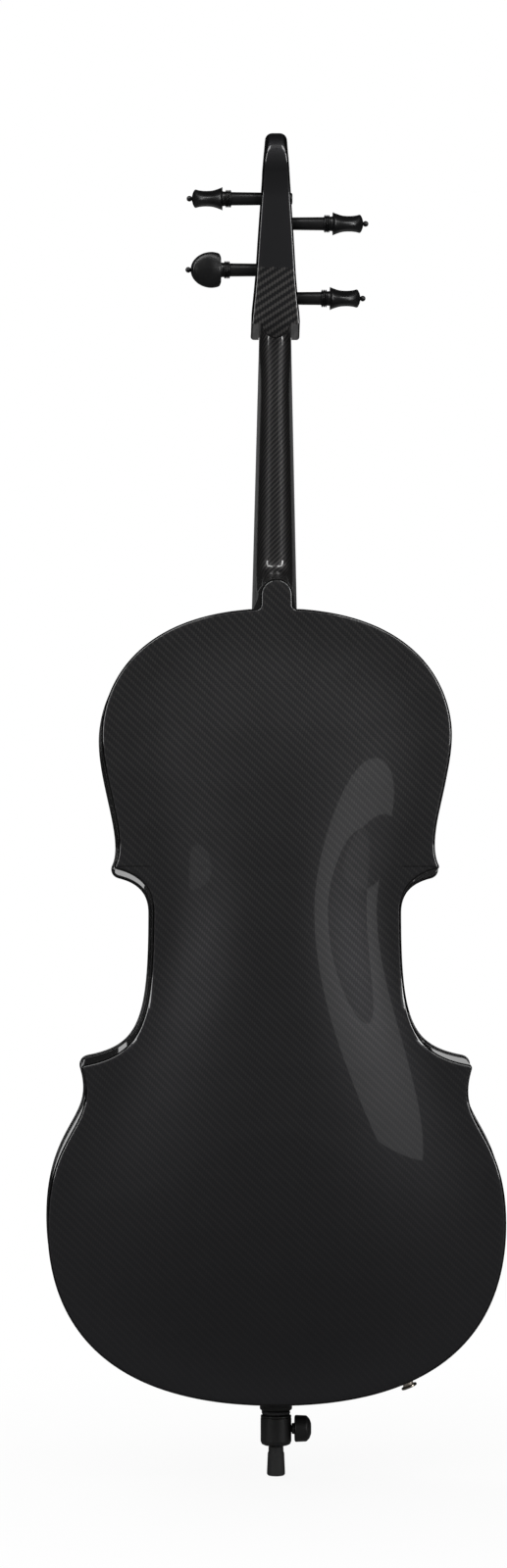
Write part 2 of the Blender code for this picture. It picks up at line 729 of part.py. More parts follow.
# Fingerboard and nut
def board_section(z, lift, under):
    half = board_width(z) / 2
    arc = [half * (1 - 2 * k / 8) for k in range(9)]
    return ([Vector((x, board_top(x, z) + lift, z)) for x in arc]
            + [Vector((-half, neck_face(z) + under, z)), Vector((half, neck_face(z) + under, z))])


BOARD_END = NUT_Z - BOARD_LENGTH
fingerboard = loft("fingerboard", [board_section(mix(NUT_Z, BOARD_END, t), 0, 0) for t in (0, 0.48, 1)],
                   EBONY)
nut = loft("nut", [board_section(z, NUT_LIFT, 0) for z in (NUT_Z + GAP, NUT_Z + GAP + NUT_LENGTH)], EBONY)

# Head
HEAD_ORIGIN = Vector((0, board_top(0, NUT_Z), NUT_Z - CHEEK_DROP))


def head_point(x, a, b):
    """World point from head coordinates: a up the head, b out of its front."""
    sine, cosine = math.sin(HEAD_TILT), math.cos(HEAD_TILT)
    return HEAD_ORIGIN + Vector((x, -a * sine + b * cosine, a * cosine + b * sine))


def head_half_width(a):
    for (a0, w0), (a1, w1) in zip(HEAD_WIDTHS, HEAD_WIDTHS[1:]):
        if a <= a1 * MM:
            return mix(w0, w1, (a / MM - a0) / (a1 - a0)) * MM / 2
    return HEAD_WIDTHS[-1][1] * MM / 2


def head_back(a):
    return -mix(HEAD_DEPTH_LOW, HEAD_DEPTH_HIGH, (a - CHEEK_RISE) / (THROAT_AT - CHEEK_RISE))


def make_head():
    stations = 7
    front = [(THROAT_AT * k / stations, 0.0) for k in range(stations + 1)]
    back = []
    for k in range(stations + 1):
        a = mix(CHEEK_RISE, THROAT_AT - 3 * MM, k / stations)
        back.append((a, head_back(a)))
    curl = []
    steps = 18
    start, end = math.radians(208), math.radians(-64)
    for k in range(1, steps):
        t = k / steps
        angle = mix(start, end, t)
        radius = CURL_RADIUS * (1 - CURL_CLOSING * max(t - 0.45, 0) / 0.55)
        curl.append((CURL_AT + radius * math.sin(angle), -CURL_BACK + radius * math.cos(angle)))
    outline = front + curl[::-1] + back[::-1]
    count = len(outline)
    inset = []
    for k, (a, b) in enumerate(outline):
        before, after = outline[k - 1], outline[(k + 1) % count]
        run = Vector((after[0] - before[0], after[1] - before[1])).normalized()
        inset.append((a + run.y * HEAD_CHAMFER, b - run.x * HEAD_CHAMFER))
    points, faces = [], []
    for side in (1, -1):
        for a, b in outline:
            points.append(head_point(side * (head_half_width(a) - HEAD_CHAMFER), a, b))
        for a, b in inset:
            points.append(head_point(side * head_half_width(a), a, b))
        points.append(head_point(side * head_half_width(CURL_AT), CURL_AT, -CURL_BACK))
    block_size = 2 * count + 1
    faces += band(0, count, count) + band(block_size, block_size + count, count) + band(0, block_size, count)
    back_first = count - 1
    for base in (count, block_size + count):
        centre = base + count
        for k in range(stations):
            faces.append((base + k, base + k + 1, base + back_first - k - 1, base + back_first - k))
        for k in range(stations, back_first - stations):
            faces.append((base + k, base + k + 1, centre))
        faces.append((base + back_first - stations, base + stations, centre))
    return solid("pegbox", points, faces, CARBON, 30)


head = make_head()


def root_section(front_z):
    return neck_section(front_z, neck_back(front_z), 2.2, neck_half(front_z), GAP)


ROOT_FROM = NECK_END + GAP
root = loft("head_root", [root_section(ROOT_FROM), root_section(ROOT_FROM + 20 * MM)], CARBON)
cut(head, root, "UNION")

chin_centre = head_point(0, CHEEK_RISE, head_back(CHEEK_RISE))
chin_middle = Vector((0, chin_centre.y + CHIN_DEPTH, chin_centre.z + 1.5 * MM))
chin_rings = 8
chin_profile = [(-CHIN_HEIGHT * math.cos(math.pi * k / chin_rings),
                 CHIN_HALF_WIDTH * math.sin(math.pi * k / chin_rings)) for k in range(chin_rings + 1)]
chin_profile[0], chin_profile[-1] = (-CHIN_HEIGHT, 0), (CHIN_HEIGHT, 0)
chin = turned("chin", chin_profile, axis_frame((0, 0, 0), (0, 0, 1), (1, 0, 0)), CARBON, 18)
chin.data.transform(Matrix.Diagonal((1, CHIN_DEPTH / CHIN_HALF_WIDTH, 1, 1)))
chin.data.transform(Matrix.Translation(chin_middle))
cut(head, chin, "UNION")

# Room for the nut and the end of the fingerboard between the cheeks
nut_half = BOARD_WIDTH_NUT / 2 + GAP
nut_room = []
for z in (NECK_END - 8 * MM, NUT_Z + NUT_LENGTH + 3 * GAP):
    y = neck_face(z) - GAP
    wide = board_width(min(z, NUT_Z)) / 2 + GAP
    nut_room.append([Vector((-wide, y, z)), Vector((wide, y, z)), Vector((wide, y + 30 * MM, z)),
                     Vector((-wide, y + 30 * MM, z))])
cut(head, loft("nut_room", nut_room, CARBON))

cavity = []
for k in range(5):
    a = mix(CAVITY_FROM, CAVITY_TO, k / 4)
    half = head_half_width(a) - CHEEK_WALL
    floor = -mix(CAVITY_DEPTH_LOW, CAVITY_DEPTH_HIGH, k / 4)
    cavity.append([head_point(-half, a, floor), head_point(half, a, floor), head_point(half, a, 12 * MM),
                   head_point(-half, a, 12 * MM)])
cut(head, loft("cavity", cavity, CARBON))


# Pegs and their ball pins
def peg_profile(side_reach):
    """Stations from the small end: distance from the collar, half width across, half thickness."""
    collar = PEG_COLLAR_LENGTH
    wide = PEG_HEAD_WIDTH / 2
    unit = PEG_HEAD_WIDTH / 34.2
    belly = 0.31 * PEG_HEAD_LENGTH
    stations = [(-side_reach, PEG_END_RADIUS * 0.86, PEG_END_RADIUS * 0.86),
                (-side_reach + 1 * MM, PEG_END_RADIUS, PEG_END_RADIUS), (0, PEG_RADIUS, PEG_RADIUS)]
    for at, radius in ((0.1, 7.7), (1.3, 8.4), (2.5, 7.3), (3.8, 8.4), (4.9, 7.2)):
        stations.append((at * unit, radius * unit, radius * unit))
    stations.append((collar - 0.1 * unit, 7.1 * unit, 7.1 * unit))
    for at, radius in ((0, 11.4), (0.7, 13.8), (2.6, 16.2)):
        stations.append((collar + at * unit, radius * unit, mix(11.2, 10.0, at / 2.6) * unit))
    for share, half_thick in ((0.31, 7.9), (0.55, 7.4), (0.75, 7.9), (0.89, 8.7), (0.96, 5.6)):
        at = share * PEG_HEAD_LENGTH
        across = wide * math.sqrt(1 - ((at - belly) / (PEG_HEAD_LENGTH - belly)) ** 2)
        stations.append((collar + at, across, half_thick * unit))
    stations.append((collar + 0.995 * PEG_HEAD_LENGTH, 2.6 * unit, 2.4 * unit))
    return stations


def peg_frame(a, b, side):
    return axis_frame(head_point(0, a, -b), (side, 0, 0), (0, -math.sin(HEAD_TILT), math.cos(HEAD_TILT)))


def make_peg(name, a, b, side, collar_at, face_on):
    reach = collar_at + head_half_width(a) + PEG_END_STANDS_OUT
    frame = peg_frame(a, b, side)
    rings = []
    hole = PIN_RADIUS + GAP
    end = PEG_COLLAR_LENGTH + PEG_HEAD_LENGTH
    stations = peg_profile(reach) + [(end, hole, hole), (end - PIN_SEAT, hole, hole)]
    for at, across, thick in stations:
        ring = []
        for k in range(PEG_SIDES):
            angle = math.tau * (k + 0.5) / PEG_SIDES
            u, v = across * math.cos(angle), thick * math.sin(angle)
            if not face_on:
                u, v = -v, u
            ring.append(frame @ Vector((collar_at + at, u, v)))
        rings.append(ring)
    peg = loft(f"peg_{name}", rings, EBONY)
    place_origin(peg, head_point(0, a, -b))
    ball = [(-PIN_SEAT + GAP - PIN_BALL_AT + end, 0), (-PIN_SEAT + GAP - PIN_BALL_AT + end, PIN_RADIUS),
            (-PIN_BALL_RADIUS * 0.9, PIN_RADIUS)]
    for k in range(2, 7):
        angle = math.pi * k / 7
        ball.append((-PIN_BALL_RADIUS * math.cos(angle), PIN_BALL_RADIUS * math.sin(angle)))
    ball.append((PIN_BALL_RADIUS, 0))
    ball_frame = frame @ Matrix.Translation((collar_at + PIN_BALL_AT, 0, 0))
    pin = turned(f"pin_{name}", ball, ball_frame, EBONY, 10)
    place_origin(pin, head_point(0, a, -b))
    far = -head_half_width(a) - 5 * MM
    near = collar_at - 1 * MM
    hole_profile = [(far, 0), (far, PEG_END_RADIUS + PEG_CLEARANCE), (near, PEG_RADIUS + PEG_CLEARANCE),
                    (near, 0)]
    cut(head, turned(f"peg_hole_{name}", hole_profile, frame, CARBON, PEG_SIDES))


for name, wire, peg_a, peg_b, side, collar_at, wind_from in STRINGS:
    make_peg(name, peg_a, peg_b, side, collar_at, name == "a")


def peg_radius_at(collar_at, peg_a, x):
    """Radius of the tapered shaft at a distance from the middle plane, towards its head."""
    reach = collar_at + head_half_width(peg_a) + PEG_END_STANDS_OUT
    return mix(PEG_RADIUS, PEG_END_RADIUS, (collar_at - x) / reach)


# Bridge
def bridge_point(x, y):
    """Bridge thickness tapers from its feet to its top."""
    t = (y - FRONT_EDGE) / (BRIDGE_TOP - FRONT_EDGE)
    return mix(BRIDGE_THICK_FOOT, BRIDGE_THICK_TOP, min(max(t, 0), 1)) / 2


def bridge_outline():
    belly = top_outside(0, BRIDGE_Z)
    height = BRIDGE_TOP - belly
    foot_in = BRIDGE_FOOT_HALF - 17 * MM
    crown = [(x * MM, BRIDGE_TOP - sagitta(x * MM, BRIDGE_TOP_RADIUS)) for x in (0, 7, 14, 21, 27)]
    side = [(28.5, 0.86), (24.5, 0.76), (20.5, 0.66), (21, 0.56), (28, 0.49), (35, 0.44), (36.5, 0.37),
            (31, 0.33), (26, 0.32), (25, 0.27), (32, 0.22), (39, 0.14), (42, 0.07)]
    half = crown + [(x * MM, belly + share * height) for x, share in side]
    feet = [(BRIDGE_FOOT_HALF, top_outside(BRIDGE_FOOT_HALF, BRIDGE_Z) + 3.5 * MM)]
    for x in (BRIDGE_FOOT_HALF, mix(foot_in, BRIDGE_FOOT_HALF, 0.5), foot_in):
        feet.append((x, top_outside(x, BRIDGE_Z) - 3 * MM))
    inner = [(foot_in - 1 * MM, top_outside(foot_in, BRIDGE_Z) + 5 * MM), (24 * MM, belly + 0.11 * height),
             (17 * MM, belly + 0.19 * height), (9 * MM, belly + 0.235 * height), (0, belly + 0.25 * height)]
    half += feet + inner
    return half + [(-x, y) for x, y in reversed(half[1:-1])]


def make_bridge():
    outline = bridge_outline()
    rings = []
    for way in (-1, 1):
        rings.append([Vector((x, y, BRIDGE_Z + way * bridge_point(x, y))) for x, y in outline])
    bridge = loft("bridge", rings, MAPLE)
    cut(bridge, below_belly)
    belly = top_outside(0, BRIDGE_Z)
    height = BRIDGE_TOP - belly
    heart = [(0, 0.47), (4.5, 0.53), (6.5, 0.6), (3.5, 0.64), (0, 0.61)]
    heart = heart + [(-x, share) for x, share in reversed(heart[1:-1])]
    outline = [(x * MM, belly + share * height) for x, share in heart]
    cut(bridge, prism("heart", outline, lambda u, v, h: Vector((u, v, BRIDGE_Z + h)), -BRIDGE_THICK_FOOT,
                      BRIDGE_THICK_FOOT, MAPLE))


make_bridge()

# Tailpiece with a fine tuner for each string
TAIL_HEAD = Vector((0, TAILPIECE_HEAD_Y, BRIDGE_Z - TAILPIECE_FROM_BRIDGE))
tail_drop = TAILPIECE_HEAD_Y - TAILPIECE_FOOT_Y
TAIL_RUN = Vector((0, -tail_drop, -math.sqrt(TAILPIECE_LENGTH ** 2 - tail_drop ** 2))).normalized()
TAIL_UP = Vector((1, 0, 0)).cross(TAIL_RUN).normalized()
if TAIL_UP.y < 0:
    TAIL_UP = -TAIL_UP


def tail_point(x, run, up):
    return TAIL_HEAD + Vector((x, 0, 0)) + TAIL_RUN * run + TAIL_UP * up


def make_tailpiece():
    rings = []
    for t in (0, 0.03, 0.2, 0.5, 0.8, 0.97, 1):
        half = mix(TAILPIECE_HEAD_WIDTH, TAILPIECE_FOOT_WIDTH, smooth(t) * 0.4 + t * 0.6) / 2
        if t in (0, 1):
            half -= 2.5 * MM
        crown = 5.5 * MM * half / (TAILPIECE_HEAD_WIDTH / 2)
        ring = []
        for k in range(7):
            u = 1 - k / 3
            ring.append(tail_point(u * half, t * TAILPIECE_LENGTH, crown * (1 - u * u) * 0.8))
        ring += [tail_point(-half, t * TAILPIECE_LENGTH, -TAILPIECE_THICK),
                 tail_point(half, t * TAILPIECE_LENGTH, -TAILPIECE_THICK)]
        rings.append(ring)
    return loft("tailpiece", rings, EBONY)


tailpiece = make_tailpiece()


def tail_crown(x, run):
    """Height of the tailpiece's upper face."""
    t = run / TAILPIECE_LENGTH
    half = mix(TAILPIECE_HEAD_WIDTH, TAILPIECE_FOOT_WIDTH, smooth(t) * 0.4 + t * 0.6) / 2
    return 5.5 * MM * half / (TAILPIECE_HEAD_WIDTH / 2) * (1 - (x / half) ** 2) * 0.8


HOOK_HEIGHT = 6.5 * MM
LEVER_DROP = TAILPIECE_THICK + 2.5 * MM


def make_tuner(name, x):
    """A lever that pivots in a slot, and the screw that pushes its long arm down."""
    up = tail_crown(x, TUNER_PIVOT_AT)
    thick = 2.4 * MM
    low = -LEVER_DROP
    outline = [(TUNER_PIVOT_AT - 4.5 * MM, up + HOOK_HEIGHT),
               (TUNER_PIVOT_AT - 1 * MM, up + HOOK_HEIGHT + 1 * MM),
               (TUNER_PIVOT_AT + 3.5 * MM, up), (TUNER_PIVOT_AT + 4.5 * MM, low),
               (TUNER_SCREW_AT + 5 * MM, low - 1.5 * MM), (TUNER_SCREW_AT + 5 * MM, low - 1.5 * MM - thick),
               (TUNER_PIVOT_AT, low - thick), (TUNER_PIVOT_AT - 4.5 * MM, low + 2 * MM),
               (TUNER_PIVOT_AT - 3.5 * MM, up)]
    lever = prism(f"tuner_lever_{name}", outline, lambda u, v, h: tail_point(x + h, u, v),
                  -TUNER_BLADE / 2, TUNER_BLADE / 2, NICKEL)
    pivot = tail_point(x, TUNER_PIVOT_AT, -TAILPIECE_THICK * 0.5)
    place_origin(lever, pivot)
    slot = [(TUNER_SLOT_FROM, 20 * MM), (TUNER_SLOT_TO, 20 * MM), (TUNER_SLOT_TO, -20 * MM),
            (TUNER_SLOT_FROM, -20 * MM)]
    slot_half = TUNER_BLADE / 2 + GAP
    cut(tailpiece, prism(f"tuner_slot_{name}", slot, lambda u, v, h: tail_point(x + h, u, v), -slot_half,
                         slot_half, EBONY))
    screw_top = tail_crown(x, TUNER_SCREW_AT)
    frame = axis_frame(tail_point(x, TUNER_SCREW_AT, 0), TAIL_UP, (1, 0, 0))
    tip = low - 1.5 * MM * (TUNER_SCREW_AT - TUNER_PIVOT_AT - 4.5 * MM) / (TUNER_SCREW_AT - TUNER_PIVOT_AT)
    tip += 2 * GAP
    shank = 1.5 * MM
    head_base = screw_top + 4 * MM
    profile = [(tip, 0), (tip, shank), (head_base, shank), (head_base, 4.4 * MM),
               (head_base + 1 * MM, 4.8 * MM), (head_base + 4 * MM, 4.8 * MM),
               (head_base + 5 * MM, 4.2 * MM), (head_base + 5 * MM, 0)]
    screw = turned(f"tuner_screw_{name}", profile, frame, NICKEL, 12)
    place_origin(screw, tail_point(x, TUNER_SCREW_AT, 0))
    bore = [(-TAILPIECE_THICK - 5 * MM, 0), (-TAILPIECE_THICK - 5 * MM, shank + 1.2 * GAP),
            (15 * MM, shank + 1.2 * GAP), (15 * MM, 0)]
    cut(tailpiece, turned(f"tuner_bore_{name}", bore, frame, EBONY, 12))


for slot_number, (name, *rest) in enumerate(STRINGS):
    make_tuner(name, (1.5 - slot_number) * TUNER_SPACING)


# Saddle and tail cord
front_low = BODY_BOTTOM - RIB_DRAFT - TOP_OVERHANG
saddle_base = FRONT_EDGE + GAP
saddle_outline = [(front_low + 2 * MM, saddle_base),
                  (front_low + 2 * MM, saddle_base + SADDLE_HEIGHT - 3 * MM),
                  (front_low + 4 * MM, saddle_base + SADDLE_HEIGHT - 0.8 * MM),
                  (front_low + 7 * MM, saddle_base + SADDLE_HEIGHT),
                  (front_low + SADDLE_LENGTH, saddle_base + SADDLE_HEIGHT - 2 * MM),
                  (front_low + SADDLE_LENGTH, saddle_base)]
saddle = prism("saddle", saddle_outline, lambda u, v, h: Vector((h, v, u)), -SADDLE_WIDTH / 2,
               SADDLE_WIDTH / 2, EBONY)


def tube(name, points, radius, material, sides_step=1):
    """A round tube along points, with closed ends."""
    curve = bpy.data.curves.new(name, "CURVE")
    curve.dimensions = "3D"
    curve.bevel_depth = radius
    curve.bevel_resolution = sides_step
    curve.use_fill_caps = True
    spline = curve.splines.new("POLY")
    spline.points.add(len(points) - 1)
    for place, point in zip(spline.points, points):
        place.co = (*point, 1)
    node = bpy.data.objects.new(name, curve)
    bpy.context.scene.collection.objects.link(node)
    curve.materials.append(material)
    return node


def rounded_path(corners, bend, steps=4):
    """A polyline whose corners are turned with short curves."""
    path = [corners[0]]
    for before, corner, after in zip(corners, corners[1:], corners[2:]):
        start = corner + (before - corner).normalized() * min(bend, (before - corner).length * 0.45)
        end = corner + (after - corner).normalized() * min(bend, (after - corner).length * 0.45)
        for k in range(steps + 1):
            t = k / steps
            path.append((1 - t) ** 2 * start + 2 * t * (1 - t) * corner + t * t * end)
    return path + [corners[-1]]


def make_tail_cord():
    """From the tailpiece over the saddle, round the plug's groove and back."""
    lane = 9 * MM
    around = GROOVE_RADIUS + TAIL_CORD_RADIUS + GAP
    groove_z = GROOVE_BASE + GROOVE_LENGTH / 2
    end = tail_point(lane, TAILPIECE_LENGTH + GAP * 2, -TAILPIECE_THICK * 0.45)
    over = Vector((lane, saddle_base + SADDLE_HEIGHT + TAIL_CORD_RADIUS + 5 * GAP, front_low + 5 * MM))
    past = Vector((lane, saddle_base + SADDLE_HEIGHT * 0.5, front_low - TAIL_CORD_RADIUS - 5 * GAP))
    side = Vector((around, 9 * MM, groove_z))
    rest = [turn for turn in (over, past) if turn.z < end.z - TAIL_CORD_RADIUS]
    half = rounded_path([end] + rest + [side, Vector((around, 0, groove_z))], 5 * MM, 3)
    loop = []
    for k in range(1, 8):
        angle = -math.pi * k / 8
        loop.append(Vector((around * math.cos(angle), around * math.sin(angle), groove_z)))
    other = [Vector((-p.x, p.y, p.z)) for p in reversed(half)]
    return tube("tail_cord", half + loop + other, TAIL_CORD_RADIUS, RUBBER)


make_tail_cord()


# Strings, each one unbroken wire with its turns round the peg
def least_self_gap(points, radius):
    """Smallest clear distance between turns of a wound wire."""
    least = 1.0
    for i, first in enumerate(points):
        for j in range(i + 12, len(points)):
            least = min(least, (points[j] - first).length - 2 * radius)
    return least


def make_string(index, name, wire, peg_a, peg_b, side, collar_at, wind_from):
    radius = wire / 2
    column = 1.5 - index
    nut_x, bridge_x, tuner_x = column * NUT_SPACING, column * BRIDGE_SPACING, column * TUNER_SPACING
    nut_z = NUT_Z + GAP + NUT_LENGTH
    nut_y = board_top(nut_x, nut_z) + NUT_LIFT + STRING_LIFT + GAP + radius
    bridge_y = BRIDGE_TOP - sagitta(abs(bridge_x), BRIDGE_TOP_RADIUS) + STRING_LIFT + 1.1 * radius
    hook_up = tail_crown(tuner_x, TUNER_PIVOT_AT) + HOOK_HEIGHT * 0.75
    hook = tail_point(tuner_x, TUNER_PIVOT_AT - 4.5 * MM - 2 * GAP, hook_up)
    over_bridge = Vector((bridge_x, bridge_y, BRIDGE_Z))
    over_nut = Vector((nut_x, nut_y, nut_z))
    centre = head_point(0, peg_a, -peg_b)
    out = (head_point(0, 0, 1) - head_point(0, 0, 0)).normalized()
    up = (head_point(0, 1, 0) - head_point(0, 0, 0)).normalized()
    pitch = wire + STRING_SELF_GAP
    turns = []
    steps = 24 * STRING_TURNS
    for k in range(steps + 1):
        angle = math.tau * k / 24 - 0.12
        x = wind_from + pitch * k / 24
        reach = peg_radius_at(collar_at, peg_a, x) + radius + 1.3 * GAP
        turns.append(centre + Vector((side * x, 0, 0))
                     + (out * math.cos(angle) + up * math.sin(angle)) * reach)
    tangent = (turns[-1] - turns[-2]).normalized()
    turns.append(turns[-1] + tangent * wire)
    arrive = turns[0] - (turns[1] - turns[0]).normalized() * wire * 2
    run = rounded_path([hook, over_bridge, over_nut, arrive], STRING_BEND, 3)
    gap = least_self_gap(turns, radius)
    print(f"string_{name}: least gap between its turns {gap / MM:.2f} mm")
    return tube(f"string_{name}", run + turns, radius, STEEL)


for index, (name, wire, peg_a, peg_b, side, collar_at, wind_from) in enumerate(STRINGS):
    make_string(index, name, wire, peg_a, peg_b, side, collar_at, wind_from)

# Endpin: plug, rod, rubber tip and thumb screw
UPRIGHT = axis_frame((0, 0, 0), (0, 0, 1), (1, 0, 0))
rod_hole = ROD_RADIUS + GAP
plug_profile = [
    (COLLAR_BASE, rod_hole), (COLLAR_BASE, COLLAR_RADIUS - 4 * MM),
    (COLLAR_BASE + 1.2 * MM, COLLAR_RADIUS - 1.2 * MM), (COLLAR_BASE + 4 * MM, COLLAR_RADIUS),
    (GROOVE_BASE, COLLAR_RADIUS), (GROOVE_BASE, GROOVE_RADIUS), (RING_BASE, GROOVE_RADIUS),
    (RING_BASE, RING_RADIUS), (RING_TOP, RING_RADIUS), (RING_TOP, PLUG_RADIUS),
    (RING_TOP + PLUG_LENGTH, PLUG_RADIUS - PLUG_TAPER), (RING_TOP + PLUG_LENGTH, rod_hole)]
plug = turned("endpin_plug", plug_profile, UPRIGHT, EBONY, 24)
seat_profile = [(RING_TOP - 3 * MM, 0), (RING_TOP - 3 * MM, PLUG_RADIUS + 1.3 * GAP),
                (RING_TOP + PLUG_LENGTH + 10 * MM, PLUG_RADIUS - PLUG_TAPER + 1.3 * GAP),
                (RING_TOP + PLUG_LENGTH + 10 * MM, 0)]
seat_cutter = turned("plug_seat", seat_profile, UPRIGHT, EBONY, 24)
cut(bowl, seat_cutter)
cut(end_block, seat_cutter)

rod_low = TIP_LENGTH - ROD_IN_TIP
rod = turned("endpin_rod", [(rod_low, 0), (rod_low, ROD_RADIUS), (rod_low + ROD_LENGTH - 1 * MM, ROD_RADIUS),
                            (rod_low + ROD_LENGTH, ROD_RADIUS - 1 * MM), (rod_low + ROD_LENGTH, 0)],
             UPRIGHT, EBONY, 20)
tip_profile = [(0, 0), (0, TIP_RADIUS - 1 * MM), (1.2 * MM, TIP_RADIUS), (4 * MM, TIP_RADIUS),
               (TIP_LENGTH - 6.4 * MM, TIP_SLEEVE_RADIUS + 0.6 * MM),
               (TIP_LENGTH - 6 * MM, TIP_SLEEVE_RADIUS),
               (TIP_LENGTH, TIP_SLEEVE_RADIUS), (TIP_LENGTH, rod_hole), (rod_low - GAP, rod_hole),
               (rod_low - GAP, 0)]
tip = turned("rubber_tip", tip_profile, UPRIGHT, RUBBER, 20)

screw_z = COLLAR_BASE + 0.55 * COLLAR_LENGTH
screw_frame = axis_frame((0, 0, screw_z), (1, 0, 0), (0, 1, 0))
knob_start = COLLAR_RADIUS + GAP
knob_base = knob_start + KNOB_NECK_LENGTH
knob_end = knob_base + KNOB_LENGTH
screw_profile = [(ROD_RADIUS + GAP, 0), (ROD_RADIUS + GAP, SCREW_SHANK_RADIUS),
                 (knob_start, SCREW_SHANK_RADIUS), (knob_start, KNOB_NECK_RADIUS),
                 (knob_base, KNOB_NECK_RADIUS), (knob_base, KNOB_RADIUS - 1 * MM),
                 (knob_base + 1 * MM, KNOB_RADIUS), (knob_end - 4 * MM, KNOB_RADIUS - 0.6 * MM),
                 (knob_end - 1.2 * MM, KNOB_RADIUS - 4 * MM), (knob_end, 0)]
thumb_screw = turned("thumb_screw", screw_profile, screw_frame, EBONY, 20)
place_origin(thumb_screw, (0, 0, screw_z))
screw_bore = SCREW_SHANK_RADIUS + 1.2 * GAP
thread = [(0, 0), (0, screw_bore), (COLLAR_RADIUS + 3 * MM, screw_bore), (COLLAR_RADIUS + 3 * MM, 0)]
cut(plug, turned("screw_hole", thread, screw_frame, EBONY, 20))


# Jack socket: barrel through the rib, cap outside, nut inside
def jack_seat():
    """Point and outward direction on the lower bass rib at its middle depth."""
    loop = offset_loop(draft(0))
    for k in range(N_HALF, 0, -1):
        if loop[k - 1].x >= JACK_X:
            t = (JACK_X - loop[k].x) / (loop[k - 1].x - loop[k].x)
            point = loop[k].lerp(loop[k - 1], t)
            run = loop[k] - loop[k - 1]
            return Vector((point.x, 0, point.y)), Vector((-run.y, 0, run.x)).normalized()
    raise ValueError("the jack is wider than the body")


seat, out = jack_seat()
if out.z > 0:
    out = -out
jack_frame = axis_frame(seat, out, (0, 1, 0))
barrel = turned("jack_barrel", [(-JACK_INSIDE, 0), (-JACK_INSIDE, JACK_RADIUS),
                                (JACK_STANDS_OUT, JACK_RADIUS), (JACK_STANDS_OUT, JACK_BORE),
                                (-JACK_INSIDE + 4 * MM, JACK_BORE), (-JACK_INSIDE + 4 * MM, 0)],
                jack_frame, NICKEL, 20)
cap_from = JACK_STANDS_OUT + GAP
cap = turned("jack_cap", [(cap_from, JACK_BORE), (cap_from, JACK_CAP_RADIUS - 0.6 * MM),
                          (cap_from + 0.6 * MM, JACK_CAP_RADIUS),
                          (cap_from + JACK_CAP_LENGTH - 0.6 * MM, JACK_CAP_RADIUS),
                          (cap_from + JACK_CAP_LENGTH, JACK_CAP_RADIUS - 0.6 * MM),
                          (cap_from + JACK_CAP_LENGTH, JACK_BORE)], jack_frame, NICKEL, 20)
nut_from = -WALL - 3 * GAP
jack_nut = turned("jack_nut", [(nut_from - JACK_NUT_LENGTH, 0), (nut_from - JACK_NUT_LENGTH, JACK_NUT_RADIUS),
                               (nut_from, JACK_NUT_RADIUS), (nut_from, 0)], jack_frame, NICKEL, 6)
jack_hole = turned("jack_hole", [(nut_from - 8 * MM, 0), (nut_from - 8 * MM, JACK_RADIUS + 1.3 * GAP),
                                 (6 * MM, JACK_RADIUS + 1.3 * GAP), (6 * MM, 0)], jack_frame, EBONY, 20)
cut(bowl, jack_hole)
cut(jack_nut, jack_hole)
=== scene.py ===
import math

import bmesh
import bpy
from mathutils import Matrix, Vector
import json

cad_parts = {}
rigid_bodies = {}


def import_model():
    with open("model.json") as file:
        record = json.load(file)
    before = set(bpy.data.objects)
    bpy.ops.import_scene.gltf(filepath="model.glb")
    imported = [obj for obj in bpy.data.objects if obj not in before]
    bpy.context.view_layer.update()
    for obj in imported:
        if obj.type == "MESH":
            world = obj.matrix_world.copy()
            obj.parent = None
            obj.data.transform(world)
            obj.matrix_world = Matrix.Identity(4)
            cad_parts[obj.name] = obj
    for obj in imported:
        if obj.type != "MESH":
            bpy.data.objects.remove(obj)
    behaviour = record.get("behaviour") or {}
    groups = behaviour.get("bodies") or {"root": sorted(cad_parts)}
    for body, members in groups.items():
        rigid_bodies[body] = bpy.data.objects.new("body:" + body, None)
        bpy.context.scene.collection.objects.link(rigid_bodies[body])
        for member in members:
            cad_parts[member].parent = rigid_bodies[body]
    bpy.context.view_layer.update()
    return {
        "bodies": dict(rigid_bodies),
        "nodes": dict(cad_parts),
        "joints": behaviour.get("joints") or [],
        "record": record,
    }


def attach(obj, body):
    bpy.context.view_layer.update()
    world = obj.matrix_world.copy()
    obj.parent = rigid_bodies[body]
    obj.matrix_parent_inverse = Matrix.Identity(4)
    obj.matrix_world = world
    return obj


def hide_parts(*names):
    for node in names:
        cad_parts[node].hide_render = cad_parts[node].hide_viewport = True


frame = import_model()

# Camera
# The photograph looks straight at the back from three and a half metres with a long lens, from a
# stand that is about as high as the lower bout. A small turn sets the cello right of the middle.
FOCAL_PIXELS, IMAGE_HEIGHT = 3656, 1600
lens = bpy.data.cameras.new("camera")
lens.sensor_fit = "VERTICAL"
lens.sensor_height = 36
lens.lens = 36 * FOCAL_PIXELS / IMAGE_HEIGHT
camera = bpy.data.objects.new("camera", lens)
camera.location = (-0.06, -3.46, 0.5)
camera.rotation_euler = (math.radians(90 + 2.7), 0, math.radians(-0.637))
bpy.context.scene.collection.objects.link(camera)
bpy.context.scene.camera = camera
bpy.context.scene.view_settings.view_transform = "Standard"

# Stage
# A pale floor and a white surround. Behind the camera hangs dark studio cloth that only mirrors
# see, with two soft boxes before it, because the clear coat on the back is a black mirror.
WHITE = 1.0


def srgb(code):
    """A colour from its hex sRGB code."""
    parts = [int(code[k:k + 2], 16) / 255 for k in (0, 2, 4)]
    return tuple(((c + 0.055) / 1.055) ** 2.4 if c > 0.04045 else c / 12.92 for c in parts) + (1,)


